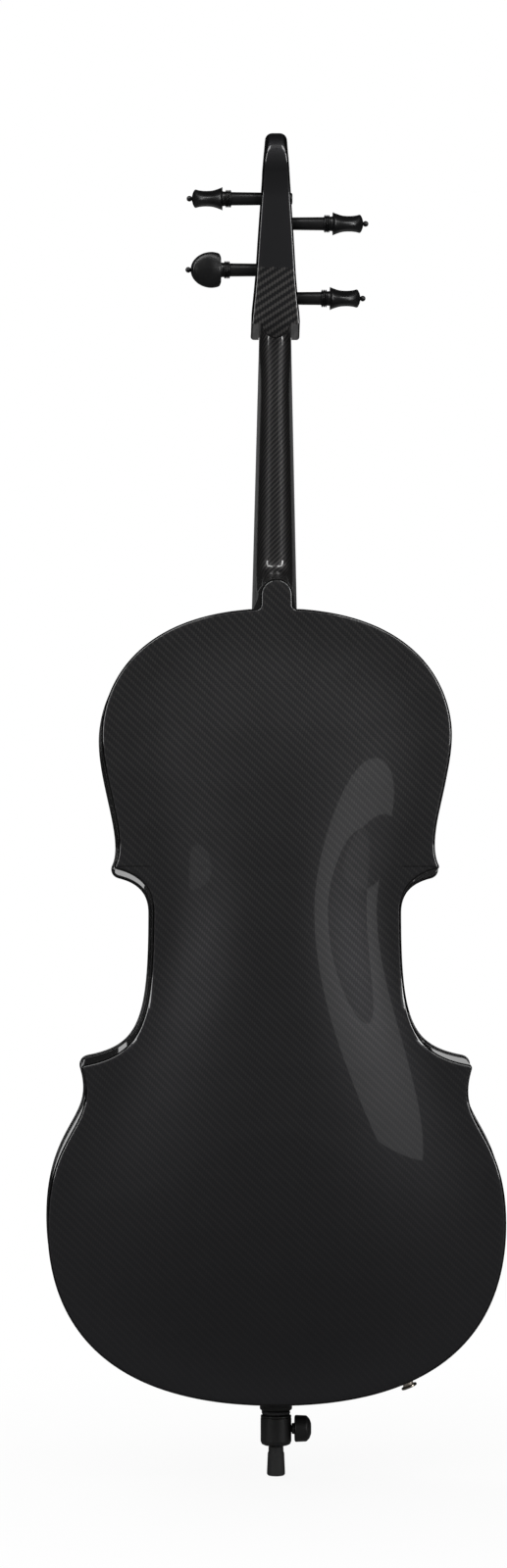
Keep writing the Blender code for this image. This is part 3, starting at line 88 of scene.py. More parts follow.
def add(tree, kind, inputs=None, **settings):
    """Adds a node. Each input is a value, or the socket that feeds it."""
    node = tree.nodes.new(kind)
    for name, value in settings.items():
        setattr(node, name, value)
    for key, value in (inputs or {}).items():
        if isinstance(value, bpy.types.NodeSocket):
            tree.links.new(value, node.inputs[key])
        else:
            node.inputs[key].default_value = value
    return node


def stage_piece(name, points, faces, material, seen_by_camera):
    mesh = bpy.data.meshes.new(name)
    mesh.from_pydata(points, [], faces)
    mesh.materials.append(material)
    made = bpy.data.objects.new(name, mesh)
    bpy.context.scene.collection.objects.link(made)
    if not seen_by_camera:
        made.visible_camera = made.visible_diffuse = made.visible_shadow = False
        made.visible_transmission = False
    return made


def glow(name, colour, strength):
    material = bpy.data.materials.new(name)
    material.use_nodes = True
    tree = material.node_tree
    tree.nodes.clear()
    light = add(tree, "ShaderNodeEmission", {"Color": srgb(colour), "Strength": strength})
    add(tree, "ShaderNodeOutputMaterial", {"Surface": light.outputs[0]})
    return material


world = bpy.data.worlds.new("white surround")
bpy.context.scene.world = world
world.use_nodes = True
tree = world.node_tree
tree.nodes.clear()
path = add(tree, "ShaderNodeLightPath")
seen = add(tree, "ShaderNodeMath", {0: path.outputs["Is Camera Ray"], 1: path.outputs["Is Glossy Ray"]},
           operation="MAXIMUM")
seen = add(tree, "ShaderNodeMath", {0: seen.outputs[0], 1: path.outputs["Is Transmission Ray"]},
           operation="MAXIMUM")
room = add(tree, "ShaderNodeBackground", {"Color": srgb("ffffff"), "Strength": 0.5})
sheet = add(tree, "ShaderNodeBackground", {"Color": srgb("ffffff"), "Strength": WHITE})
both = add(tree, "ShaderNodeMixShader", {0: seen.outputs[0], 1: room.outputs[0], 2: sheet.outputs[0]})
add(tree, "ShaderNodeOutputWorld", {"Surface": both.outputs[0]})

floor_finish = bpy.data.materials.new("white paper floor")
floor_finish.use_nodes = True
tree = floor_finish.node_tree
tree.nodes.clear()
path = add(tree, "ShaderNodeLightPath")
paper = add(tree, "ShaderNodeBsdfDiffuse", {"Color": srgb("f4f4f4")})
lit = add(tree, "ShaderNodeEmission", {"Color": srgb("ffffff"), "Strength": WHITE})
place = add(tree, "ShaderNodeTexCoord").outputs["Object"]
away = add(tree, "ShaderNodeVectorMath", {0: place}, operation="LENGTH").outputs["Value"]
share = add(tree, "ShaderNodeMapRange", {0: away, 1: 0.1, 2: 1.0, 3: 0.9, 4: 1.0}).outputs[0]
share = add(tree, "ShaderNodeMath", {0: path.outputs["Is Camera Ray"], 1: share}, operation="MULTIPLY")
both = add(tree, "ShaderNodeMixShader", {0: share.outputs[0], 1: paper.outputs[0], 2: lit.outputs[0]})
add(tree, "ShaderNodeOutputMaterial", {"Surface": both.outputs[0]})
stage_piece("floor", [(-4, -0.8, 0), (4, -0.8, 0), (4, 6, 0), (-4, 6, 0)], [(0, 1, 2, 3)],
            floor_finish, True)


def curtain(name, start, stop, radius, low, high, material):
    """An upright curved sheet round the instrument, from one heading to another in degrees."""
    points, faces = [], []
    for k in range(25):
        heading = math.radians(start + (stop - start) * k / 24)
        for z in (low, high):
            points.append((radius * math.sin(heading), -radius * math.cos(heading), z))
        if k:
            faces.append((2 * k - 2, 2 * k, 2 * k + 1, 2 * k - 1))
    return stage_piece(name, points, faces, material, False)


dark_cloth, black_cloth = glow("dark studio cloth", "ffffff", 0.12), glow("black studio cloth", "ffffff", 0.012)
curtain("dark_cloth", -55, 55, 5.2, -1.0, 5.0, dark_cloth)
curtain("black_cloth", 55, 305, 5.4, -1.0, 5.0, black_cloth)
grey_cloth = glow("grey studio cloth", "ffffff", 0.45)
for name, start, stop, low, high in (("flank", 182, 203, 0.6, 0.7), ("upper_corner", 180.5, 188, 0.0, 0.42),
                                     ("lower_corner", 169, 176, 0.5, 0.85)):
    curtain(f"{name}_grey_cloth", start, stop, 5.2, low, high, grey_cloth)
stage_piece("black_ceiling", [(-6, -6, 5), (6, -6, 5), (6, 6, 5), (-6, 6, 5)], [(0, 1, 2, 3)], black_cloth, False)
stage_piece("dark_floor_cloth", [(-5, -5, 0.001), (5, -5, 0.001), (5, 5, 0.001), (-5, 5, 0.001)], [(0, 1, 2, 3)],
            glow("dark floor cloth", "ffffff", 0.1), False)
stage_piece("far_floor_cloth", [(-0.9, 1.2, 0.002), (0.9, 1.2, 0.002), (0.9, 3.2, 0.002), (-0.9, 3.2, 0.002)],
            [(0, 1, 2, 3)], glow("far floor cloth", "ffffff", 0.22), False)
stage_piece("centre_top_strip", [(-0.7, -2.6, 3.5), (0.7, -2.6, 3.5), (0.7, -1.9, 4.2), (-0.7, -1.9, 4.2)],
            [(0, 1, 2, 3)], glow("centre top strip", "ffffff", 0.5), False)


def soft_box(name, heading, radius, wide, low, high, strength):
    """A glowing panel that stands round the instrument and is seen only in its mirror."""
    turn = math.radians(heading)
    centre = Vector((math.sin(turn), -math.cos(turn), 0)) * radius
    side = Vector((math.cos(turn), math.sin(turn), 0)) * wide / 2
    points = [centre - side + Vector((0, 0, low)), centre + side + Vector((0, 0, low)),
              centre + side + Vector((0, 0, high)), centre - side + Vector((0, 0, high))]
    return stage_piece(name, points, [(0, 1, 2, 3)], glow(name, "ffffff", strength), False)


soft_box("right_soft_box", 31.5, 4.0, 0.7, 0.35, 2.05, 0.6)
soft_box("left_soft_box", -38, 4.0, 0.25, 0.45, 1.2, 0.1)
for name, side, strength in (("right", 1, 14.0), ("left", -1, 9.0)):
    soft_box(f"{name}_edge_strip", 52.5 * side, 4.0, 0.75, 0.7, 3.4, strength)
    soft_box(f"{name}_neck_strip", 40 * side, 4.0, 0.5, 0.002, 0.36, 0.3)
    stage_piece(f"{name}_top_strip", [(0.7 * side, -2.6, 3.5), (3.2 * side, -2.6, 3.5), (3.2 * side, -1.9, 4.2),
                                      (0.7 * side, -1.9, 4.2)], [(0, 1, 2, 3)], glow("top strip", "ffffff", 8.0), False)


def lamp(name, place, target, size, power, mirrored=True):
    """A soft area lamp that faces a point."""
    light = bpy.data.lights.new(name, "AREA")
    light.shape = "RECTANGLE"
    light.size, light.size_y = size
    light.energy = power
    made = bpy.data.objects.new(name, light)
    made.location = place
    made.rotation_euler = (Vector(target) - Vector(place)).to_track_quat("-Z", "Y").to_euler()
    made.visible_camera = False
    made.visible_glossy = mirrored
    bpy.context.scene.collection.objects.link(made)
    return made


lamp("overhead_lamp", (0.0, -2.3, 3.0), (0, 0, 0.75), (4.0, 2.6), 30, False)
lamp("front_lamp", (-1.5, 3.0, 2.4), (0, 0, 0.7), (2.0, 2.0), 60, False)
lamp("camera_side_lamp", (-1.2, -3.2, 1.6), (0, 0, 0.6), (2.0, 2.0), 42, False)

# Back, ribs and the neck button
# One hollow shell of twill carbon cloth, laid in a mould and clear coated: the arched back with its
# rounded edge, the tab that covers the neck's heel, and ribs that lean out towards the front.
MM = 0.001
BODY_BOTTOM = 73.187 * MM
BODY_LENGTH = 755 * MM
BODY_TOP = BODY_BOTTOM + BODY_LENGTH
UPPER_BOUT, UPPER_BOUT_AT = 333.2 * MM, 634.7 * MM
WAIST, WAIST_AT = 235.2 * MM, 466 * MM
LOWER_BOUT, LOWER_BOUT_AT = 433.6 * MM, 171 * MM
CORNER_ROUND = 4.5 * MM
BACK_EDGE, FRONT_EDGE = -60 * MM, 60 * MM
RIB_FRONT = 56.7 * MM
RIB_LEAN = 4.9 * MM
WALL, TOP_WALL = 2 * MM, 3 * MM
EDGE_ROUND = 3 * MM
TAB_LENGTH, TAB_HALF, TAB_WALL, TAB_FILLET = 28 * MM, 15.5 * MM, 3.6 * MM, 4 * MM
BACK_ARCH, TOP_ARCH, ARCH_MARGIN = 24 * MM, 26 * MM, 14 * MM
TOW_ACROSS, TOW_DOWN = 2.05 * MM, 1.97 * MM


def mix(low, high, t):
    return low + (high - low) * t


def smooth(t):
    t = min(max(t, 0), 1)
    return t * t * (3 - 2 * t)


def bezier(a, b, c, d, steps):
    """Points of a cubic curve, without its last one."""
    a, b, c, d = (Vector(p) for p in (a, b, c, d))
    curve = []
    for k in range(steps):
        t = k / steps
        curve.append((1 - t) ** 3 * a + 3 * (1 - t) ** 2 * t * b + 3 * (1 - t) * t * t * c + t ** 3 * d)
    return curve


def along(points, start, step, distance):
    """The point a distance along a line, and the next index that is kept."""
    here, left = start, distance
    while left > (points[here + step] - points[here]).length:
        left -= (points[here + step] - points[here]).length
        here += step
    share = left / (points[here + step] - points[here]).length
    return points[here].lerp(points[here + step], share), here + step


def round_corner(points, index):
    """Gives a corner its short round end."""
    before, keep_before = along(points, index, -1, CORNER_ROUND)
    after, keep_after = along(points, index, 1, CORNER_ROUND)
    tip = points[index]
    middle = [(1 - t) ** 2 * before + 2 * t * (1 - t) * tip + t * t * after for t in (k / 10 for k in range(11))]
    return points[:keep_before + 1] + middle + points[keep_after:]


def outline_loops():
    """The back's edge as closed loops of (x, z): plain, and with the tab at its top."""
    upper, waist, lower = UPPER_BOUT / 2, WAIST / 2, LOWER_BOUT / 2
    c1, c2 = Vector((155.5, 507)) * MM, Vector((185.8, 320.3)) * MM
    shoulder = bezier((0, BODY_LENGTH), (0.836 * upper, BODY_LENGTH), (upper, UPPER_BOUT_AT + 40.6 * MM),
                      (upper, UPPER_BOUT_AT), 64)
    flank = bezier((upper, UPPER_BOUT_AT), (upper, UPPER_BOUT_AT - 44.9 * MM),
                   c1 + Vector((-16.8, 25.8)) * MM, c1, 30)
    hollow_top = bezier(c1, c1 + Vector((-14.6, -3.1)) * MM, (waist, WAIST_AT + 30.4 * MM),
                        (waist, WAIST_AT), 24)
    hollow_low = bezier((waist, WAIST_AT), (waist, WAIST_AT - 106.3 * MM), c2 + Vector((-59.2, 9.6)) * MM, c2, 40)
    hip = bezier(c2, c2 + Vector((-20.1, -58.7)) * MM, (lower, LOWER_BOUT_AT + 91.8 * MM),
                 (lower, LOWER_BOUT_AT), 32)
    base = bezier((lower, LOWER_BOUT_AT), (lower, LOWER_BOUT_AT - 85.7 * MM), (0.789 * lower, 0), (0, 0), 48)
    points = shoulder + flank + hollow_top + hollow_low + hip + base + [Vector((0, 0))]
    first = len(shoulder) + len(flank)
    points = round_corner(round_corner(points, first + len(hollow_top) + len(hollow_low)), first)
    reach = TAB_HALF + TAB_FILLET
    rest = [p for p in points if p.x > reach + 1 * MM or p.y < BODY_LENGTH / 2]
    foot = points[0].lerp(rest[0], reach / rest[0].x)
    tab = []
    for k in range(15):
        angle = math.pi / 2 * (1 - k / 14)
        tab.append(Vector((TAB_HALF * math.cos(angle),
                           BODY_LENGTH + TAB_LENGTH - TAB_HALF + TAB_HALF * math.sin(angle))))
    for k in range(1, 4):
        tab.append(Vector((TAB_HALF, mix(BODY_LENGTH + TAB_LENGTH - TAB_HALF, foot.y + TAB_FILLET, k / 3))))
    for k in range(1, 9):
        angle = math.pi + math.pi / 2 * k / 8
        tab.append(Vector((reach + TAB_FILLET * math.cos(angle), foot.y + TAB_FILLET * (1 + math.sin(angle)))))
    plain = [points[0].lerp(foot, k / (len(tab) - 1)) for k in range(len(tab))]
    loops = []
    for start in (plain, tab):
        half = [Vector((p.x, p.y + BODY_BOTTOM)) for p in start + rest]
        loops.append(half + [Vector((-p.x, p.y)) for p in reversed(half[1:-1])])
    return loops


PLAIN_LOOP, TAB_LOOP = outline_loops()
LOOP_COUNT = len(PLAIN_LOOP)
SPINE_TOP, SPINE_LOW = BODY_BOTTOM + UPPER_BOUT_AT, BODY_BOTTOM + LOWER_BOUT_AT


def moved_out(loop, distance):
    """A loop moved outwards, square to itself."""
    moved = []
    for k, point in enumerate(loop):
        run = loop[(k + 1) % len(loop)] - loop[k - 1]
        moved.append(point + Vector((-run.y, run.x)).normalized() * distance)
    return moved


def arch(x, z):
    """Arching of a plate, from 0 at its edge to 1 at its middle."""
    v = z - BODY_BOTTOM
    upper, lower = UPPER_BOUT / 2 - ARCH_MARGIN, LOWER_BOUT / 2 - ARCH_MARGIN
    waist = WAIST / 2 - ARCH_MARGIN * 0.6
    if v < LOWER_BOUT_AT:
        reach = (LOWER_BOUT_AT - v) / (LOWER_BOUT_AT - ARCH_MARGIN)
        width = lower * math.sqrt(max(1 - reach * reach, 0))
    elif v < WAIST_AT:
        width = mix(lower, waist, smooth((v - LOWER_BOUT_AT) / (WAIST_AT - LOWER_BOUT_AT)))
    elif v < UPPER_BOUT_AT:
        width = mix(waist, upper, smooth((v - WAIST_AT) / (UPPER_BOUT_AT - WAIST_AT)))
    else:
        reach = (v - UPPER_BOUT_AT) / (BODY_LENGTH - ARCH_MARGIN - UPPER_BOUT_AT)
        width = upper * math.sqrt(max(1 - reach * reach, 0))
    across = min(abs(x) / max(width, 1e-6), 1) ** 1.25
    down = min(abs(2 * v / BODY_LENGTH - 1) / 0.96, 1) ** 2.5
    return 0.25 * (1 + math.cos(math.pi * across)) * (1 + math.cos(math.pi * down))


def lean(depth):
    return RIB_LEAN * (depth - BACK_EDGE) / (FRONT_EDGE - BACK_EDGE)


def level(loop, distance, depth):
    return [Vector((p.x, depth, p.y)) for p in moved_out(loop, distance)]


def plate(loop, distance, share, rise):
    """A ring of an arched plate, the loop drawn in towards the spine; rise gives its depth."""
    ring = []
    for p in moved_out(loop, distance):
        spine = min(max(p.y, SPINE_LOW), SPINE_TOP)
        x, z = p.x * share, mix(spine, p.y, share)
        ring.append(Vector((x, rise(x, z), z)))
    return ring


PLATE_SHARES = [1 - (k / 30) ** 1.15 for k in range(30)]


def ring_faces(first, second, count, close=True):
    return [(first + k, first + (k + 1) % count, second + (k + 1) % count, second + k)
            for k in range(count if close else count - 1)]


def spine_faces(base, count):
    """Closes a ring from its left half to its right half."""
    half = count // 2
    faces = [(base, base + 1, base + count - 1)]
    for k in range(1, half - 1):
        faces.append((base + k, base + k + 1, base + count - k - 1, base + count - k))
    return faces + [(base + half - 1, base + half, base + half + 1)]


def piece(name, points, faces, finish, sharp=35, cloth=None):
    """A mesh with its faces turned outwards; cloth gives each corner its place on the cloth."""
    mesh = bpy.data.meshes.new(name)
    mesh.from_pydata([tuple(p) for p in points], [], faces)
    shape = bmesh.new()
    shape.from_mesh(mesh)
    bmesh.ops.recalc_face_normals(shape, faces=shape.faces)
    shape.to_mesh(mesh)
    shape.free()
    if cloth:
        layer = mesh.uv_layers.new(name="cloth")
        for face in mesh.polygons:
            for corner in face.loop_indices:
                layer.data[corner].uv = cloth(mesh.loops[corner].vertex_index, face)
    mesh.shade_smooth()
    mesh.set_sharp_from_angle(angle=math.radians(sharp))
    mesh.materials.append(finish)
    made = bpy.data.objects.new(name, mesh)
    bpy.context.scene.collection.objects.link(made)
    return made


def settle(made):
    """Makes what the modifiers show the piece's own plain mesh."""
    bpy.context.view_layer.update()
    shown = made.evaluated_get(bpy.context.evaluated_depsgraph_get())
    mesh = bpy.data.meshes.new_from_object(shown)
    made.modifiers.clear()
    made.data = mesh
    mesh.name = made.name
    return made


def cut_out(made, tool, sharp=35):
    change = made.modifiers.new("cut", "BOOLEAN")
    change.operation = "DIFFERENCE"
    change.solver = "EXACT"
    change.object = tool
    settle(made)
    bpy.data.objects.remove(tool)
    made.data.set_sharp_from_angle(angle=math.radians(sharp))


def finish_tree(name):
    """A new material and its shader, ready for the nodes of one real finish."""
    material = bpy.data.materials.new(name)
    material.use_nodes = True
    return material, material.node_tree, material.node_tree.nodes["Principled BSDF"]


def calc(tree, operation, a, b=0.0, c=0.0):
    return add(tree, "ShaderNodeMath", {0: a, 1: b, 2: c}, operation=operation).outputs[0]


def twill_carbon(name, upright, level, gap, bare_above=None):
    """Two-by-two twill of carbon tows under polished clear coat. The cloth map is in metres: the
    upright tows catch the light, the level ones stay dark, and each dips at the ends of its float.
    Towards the lower end the cloth fades into plain resin colour: painted shade, standing in for
    the light from above that falls off down the piece."""
    material, tree, shader = finish_tree(name)
    place = add(tree, "ShaderNodeSeparateXYZ", {0: add(tree, "ShaderNodeUVMap", uv_map="cloth").outputs[0]})
    across = calc(tree, "DIVIDE", place.outputs["X"], TOW_ACROSS)
    down = calc(tree, "DIVIDE", place.outputs["Y"], TOW_DOWN)
    column, row = calc(tree, "FLOOR", across), calc(tree, "FLOOR", down)
    in_column, in_row = calc(tree, "FRACT", across), calc(tree, "FRACT", down)
    step = calc(tree, "FLOORED_MODULO", calc(tree, "ADD", column, row), 4.0)
    level_tow = calc(tree, "GREATER_THAN", step, 1.5)
    upright_run = calc(tree, "MULTIPLY", calc(tree, "ADD", step, in_row), 0.5)
    level_run = calc(tree, "MULTIPLY", calc(tree, "ADD", calc(tree, "SUBTRACT", step, 2.0), in_column), 0.5)
    run = add(tree, "ShaderNodeMix", {0: level_tow, 2: upright_run, 3: level_run}).outputs[0]
    width = add(tree, "ShaderNodeMix", {0: level_tow, 2: in_column, 3: in_row}).outputs[0]
    crest = calc(tree, "SINE", calc(tree, "MULTIPLY", run, math.pi))
    flank = calc(tree, "SINE", calc(tree, "MULTIPLY", width, math.pi))
    height = calc(tree, "MULTIPLY", calc(tree, "POWER", crest, 0.5), calc(tree, "POWER", flank, 0.4))
    where = add(tree, "ShaderNodeTexCoord").outputs["Object"]
    patches = add(tree, "ShaderNodeTexNoise", {"Vector": where, "Scale": 28.0, "Detail": 3.0}).outputs["Fac"]
    up = add(tree, "ShaderNodeSeparateXYZ", {0: where}).outputs["Z"]
    # Painted shade: from 0.8 m down the cloth's colour and bump fade towards plain resin, for the light from above
    # falling off towards the bottom.
    shown = add(tree, "ShaderNodeMapRange", {0: up, 1: 0.1, 2: 0.8, 3: 0.12, 4: 1.0}).outputs[0]
    if bare_above:
        ragged = add(tree, "ShaderNodeTexNoise", {"Vector": where, "Scale": 400.0, "Detail": 2.0}).outputs["Fac"]
        limit = calc(tree, "MULTIPLY_ADD", ragged, 6 * MM, bare_above - 3 * MM)
        shown = calc(tree, "MULTIPLY", shown, calc(tree, "LESS_THAN", up, limit))
    tow = add(tree, "ShaderNodeMix", {0: level_tow, 6: srgb(upright), 7: srgb(level)}, data_type="RGBA").outputs[2]
    shade = calc(tree, "MULTIPLY", calc(tree, "MULTIPLY_ADD", height, 0.75, 0.25),
                 calc(tree, "MULTIPLY_ADD", patches, 0.5, 0.75))
    cloth = add(tree, "ShaderNodeMix", {0: shade, 6: srgb(gap), 7: tow}, data_type="RGBA").outputs[2]
    resin = srgb("272729" if bare_above else "27272a")
    # shown mixes in plain resin: painted shade low down, and the real bare black resin above bare_above.
    colour = add(tree, "ShaderNodeMix", {0: shown, 6: resin, 7: cloth}, data_type="RGBA").outputs[2]
    bump = add(tree, "ShaderNodeBump", {"Height": calc(tree, "MULTIPLY", height, shown), "Distance": 0.12 * MM,
                                        "Strength": 0.5})
    tree.links.new(colour, shader.inputs["Base Color"])
    tree.links.new(bump.outputs[0], shader.inputs["Normal"])
    shader.inputs["Metallic"].default_value = 0.8
    shader.inputs["Roughness"].default_value = 0.45
    shader.inputs["Coat Weight"].default_value = 1.0
    shader.inputs["Coat Roughness"].default_value = 0.02
    return material


def dark_reflection_edge_finish():
    """Near-black colour on the rounded edge of a shell, so no cloth shows there: a deep, even black
    under the same polish, with a little dust in its colour. It is painted dark reflection, for the
    dark studio sides that the rounded edge mirrors."""
    material, tree, shader = finish_tree("painted dark edge reflection")
    where = add(tree, "ShaderNodeTexCoord").outputs["Object"]
    dust = add(tree, "ShaderNodeTexNoise", {"Vector": where, "Scale": 300.0, "Detail": 3.0}).outputs["Fac"]
    colour = add(tree, "ShaderNodeMix", {0: dust, 6: srgb("050505"), 7: srgb("0c0c0c")}, data_type="RGBA").outputs[2]
    rough = add(tree, "ShaderNodeMapRange", {0: dust, 3: 0.04, 4: 0.12}).outputs[0]
    tree.links.new(colour, shader.inputs["Base Color"])
    tree.links.new(rough, shader.inputs["Roughness"])
    return material


# The neck's and the head's copies get their own tow tones, set so that each part looks as bright as it does under this
# light: lit and shaded copies of one cloth, so their differences in tone are painted light and shade.
body_twill = twill_carbon("clear-coated twill carbon", "3c3b3b", "2b2b2d", "111112")
neck_twill = twill_carbon("fine clear-coated twill carbon", "52504f", "28282a", "101011")
head_twill = twill_carbon("clear-coated twill carbon under black resin", "585655", "222224", "101011", 1.163)
# The rounded edges get a near-black colour instead of cloth: painted dark reflection of the studio's dark sides.
painted_dark_edge = dark_reflection_edge_finish()


def paint_edge_dark(made, wanted, count):
    """Gives the faces that run from one wanted ring to the next the near-black edge: painted dark reflection."""
    made.data.materials.append(painted_dark_edge)
    for face in made.data.polygons:
        rings = {v // count for v in face.vertices}
        if len(rings) > 1 and all(wanted(ring) for ring in rings):
            face.material_index = 1


def back_face(x, z):
    return BACK_EDGE - BACK_ARCH * arch(x, z)


def make_back_and_ribs():
    rings = [plate(TAB_LOOP, -EDGE_ROUND, share, back_face) for share in reversed(PLATE_SHARES)]
    for k in range(1, 8):
        angle = math.pi / 2 * k / 7
        rings.append(level(TAB_LOOP, EDGE_ROUND * (math.sin(angle) - 1), BACK_EDGE + EDGE_ROUND * (1 - math.cos(angle))))
    rib_start = len(rings)
    rings.append(level(TAB_LOOP, 0, BACK_EDGE + TAB_WALL))
    for k in range(9):
        depth = mix(BACK_EDGE + TAB_WALL, RIB_FRONT, k / 8)
        rings.append(level(PLAIN_LOOP, lean(depth), depth))
    rib_end = len(rings)
    rings.append(level(PLAIN_LOOP, lean(RIB_FRONT) - WALL, RIB_FRONT))
    rings.append(level(PLAIN_LOOP, -WALL, BACK_EDGE + WALL + 1 * MM))
    rings += [plate(PLAIN_LOOP, -EDGE_ROUND, share, lambda x, z: back_face(x, z) + WALL) for share in PLATE_SHARES]
    points = [p for ring in rings for p in ring]
    faces = []
    for k in range(len(rings) - 1):
        faces += ring_faces(k * LOOP_COUNT, (k + 1) * LOOP_COUNT, LOOP_COUNT)
    faces += spine_faces(0, LOOP_COUNT) + spine_faces((len(rings) - 1) * LOOP_COUNT, LOOP_COUNT)
    walked, length = [0.0], 0.0
    for a, b in zip(PLAIN_LOOP, PLAIN_LOOP[1:]):
        length += (b - a).length
        walked.append(length)

    def cloth(index, face):
        on_rib = all(rib_start - 1 <= v // LOOP_COUNT <= rib_end + 1 for v in face.vertices)
        if on_rib:
            return walked[index % LOOP_COUNT], points[index].y
        return points[index].x, points[index].z
    made = piece("back_and_ribs", points, faces, body_twill, 35, cloth)
    # The back's rounded edge is painted near-black: painted dark reflection.
    paint_edge_dark(made, lambda ring: rib_start - 6 <= ring <= rib_start, LOOP_COUNT)
    return made


back_and_ribs = make_back_and_ribs()


def turned(name, profile, frame, finish, sides=48, sharp=35):
    """A turned piece. The profile runs (distance along the axis, radius) and ends on the axis."""
    points, faces, rows = [], [], []
    for distance, radius in profile:
        count = 1 if radius < 1e-9 else sides
        rows.append(list(range(len(points), len(points) + count)))
        for k in range(count):
            angle = math.tau * (k + 0.5) / sides
            points.append(frame @ Vector((distance, radius * math.cos(angle), radius * math.sin(angle))))
    for low, high in zip(rows, rows[1:] + rows[:1]):
        for k in range(sides):
            n = (k + 1) % sides
            if len(low) == 1 and len(high) == 1:
                break
            corners = [low[k % len(low)], low[n % len(low)], high[n % len(high)], high[k % len(high)]]
            faces.append(tuple(dict.fromkeys(corners)))
    return piece(name, points, faces, finish, sharp)


def axis_frame(origin, axis, side):
    """Matrix whose X is the axis and whose Y lies nearest to side."""
    x_axis = Vector(axis).normalized()
    z_axis = x_axis.cross(Vector(side)).normalized()
    y_axis = z_axis.cross(x_axis)
    return Matrix.Translation(origin) @ Matrix((x_axis, y_axis, z_axis)).transposed().to_4x4()


def loft(name, rings, finish, sharp=35, cloth=None):
    """A solid through closed rings of equal count, capped at both ends."""
    count = len(rings[0])
    faces = [tuple(range(count)), tuple(range((len(rings) - 1) * count, len(rings) * count))]
    for k in range(len(rings) - 1):
        faces += ring_faces(k * count, (k + 1) * count, count)
    return piece(name, [p for ring in rings for p in ring], faces, finish, sharp, cloth)


def prism(name, outline, place, low, high, finish, sharp=35):
    """A flat outline carried from low to high; place gives a point for (u, v, height)."""
    return loft(name, [[place(u, v, height) for u, v in outline] for height in (low, high)], finish, sharp)


UPRIGHT = axis_frame((0, 0, 0), (0, 0, 1), (1, 0, 0))
GAP = 0.3 * MM
BUTTON_FRONT = BACK_EDGE + TAB_WALL
HEEL_BACK = BUTTON_FRONT + GAP
FOOT_Z = BODY_TOP - 8.5 * MM
NUT_Z = BODY_TOP + 279 * MM
NECK_SLOPE = 0.184
BOARD_EDGE, BOARD_RADIUS = 5.2 * MM, 62 * MM


def board_width(z):
    return 31.2 * MM + 0.05 * (NUT_Z - z)


def neck_face(z):
    """Depth of the face where the fingerboard is glued on the neck."""
    return FRONT_EDGE + 20.5 * MM - NECK_SLOPE * (z - BODY_TOP)


def foot_space(name):
    """The mortise for the neck's foot, as a cutting tool."""
    front, back = board_width(BODY_TOP) / 2 + GAP, TAB_HALF + GAP
    face = neck_face(FOOT_Z)
    slope = (front - back) / (face - HEEL_BACK) * 10 * MM
    outline = [(-back, HEEL_BACK - GAP), (back, HEEL_BACK - GAP), (front + slope, face + 10 * MM),
               (-front - slope, face + 10 * MM)]
    return prism(name, outline, lambda u, v, h: Vector((u, v, h)), FOOT_Z - GAP, BODY_TOP + 30 * MM, body_twill)


PIN_TOP = 69.8 * MM
cut_out(back_and_ribs, foot_space("mortise"))
cut_out(back_and_ribs, turned("plug_seat", [(PIN_TOP - 3 * MM, 0), (PIN_TOP - 3 * MM, 13.4 * MM),
                                            (PIN_TOP + 40 * MM, 12.6 * MM), (PIN_TOP + 40 * MM, 0)],
                              UPRIGHT, body_twill))


def jack_seat():
    """Point and outward direction on the lower bass rib at its middle depth."""
    loop = moved_out(PLAIN_LOOP, lean(0))
    for k in range(LOOP_COUNT // 2, 0, -1):
        if loop[k - 1].x >= 124.5 * MM:
            t = (124.5 * MM - loop[k].x) / (loop[k - 1].x - loop[k].x)
            point, run = loop[k].lerp(loop[k - 1], t), loop[k] - loop[k - 1]
            way = Vector((-run.y, 0, run.x)).normalized()
            return Vector((point.x, 0, point.y)), way if way.z < 0 else -way


JACK_SEAT, JACK_OUT = jack_seat()
JACK_FRAME = axis_frame(JACK_SEAT, JACK_OUT, (0, 1, 0))
cut_out(back_and_ribs, turned("jack_hole", [(-9 * MM, 0), (-9 * MM, 5.7 * MM), (6 * MM, 5.7 * MM), (6 * MM, 0)],
                              JACK_FRAME, body_twill))
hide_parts("body_bowl")
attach(back_and_ribs, "instrument")

# Top plate
# A second skin of the same twill, glued on the front edge of the ribs. Its rounded edge stands out
# past them, and two f-holes are cut through it.
BRIDGE_Z = BODY_BOTTOM + 355 * MM
TOP_EDGE = RIB_LEAN + 1.5 * MM
F_UPPER_EYE, F_LOWER_EYE = (50 * MM, 62 * MM, 5.5 * MM), (84 * MM, -60 * MM, 7 * MM)
F_SLOT_HALF = 3.4 * MM


def top_face(x, z):
    return FRONT_EDGE + TOP_ARCH * arch(x, z)


def make_top_plate():
    bend = 1.4 * MM
    rings = [plate(PLAIN_LOOP, TOP_EDGE - bend, share, top_face) for share in reversed(PLATE_SHARES)]
    for k in range(1, 11):
        angle = math.pi * k / 10
        rings.append(level(PLAIN_LOOP, TOP_EDGE - bend + bend * math.sin(angle),
                           FRONT_EDGE - TOP_WALL / 2 + TOP_WALL / 2 * math.cos(angle)))
    rings += [plate(PLAIN_LOOP, TOP_EDGE - bend, share, lambda x, z: top_face(x, z) - TOP_WALL)
              for share in PLATE_SHARES[1:]]
    points = [p for ring in rings for p in ring]
    faces = []
    for k in range(len(rings) - 1):
        faces += ring_faces(k * LOOP_COUNT, (k + 1) * LOOP_COUNT, LOOP_COUNT)
    faces += spine_faces(0, LOOP_COUNT) + spine_faces((len(rings) - 1) * LOOP_COUNT, LOOP_COUNT)
    made = piece("top_skin", points, faces, body_twill, 35, lambda index, face: (-points[index].x, points[index].z))
    # The top's rounded edge is painted near-black: painted dark reflection.
    paint_edge_dark(made, lambda ring: len(PLATE_SHARES) - 1 <= ring <= len(PLATE_SHARES) + 9, LOOP_COUNT)
    return made


top_skin = make_top_plate()
cut_out(top_skin, foot_space("mortise"))


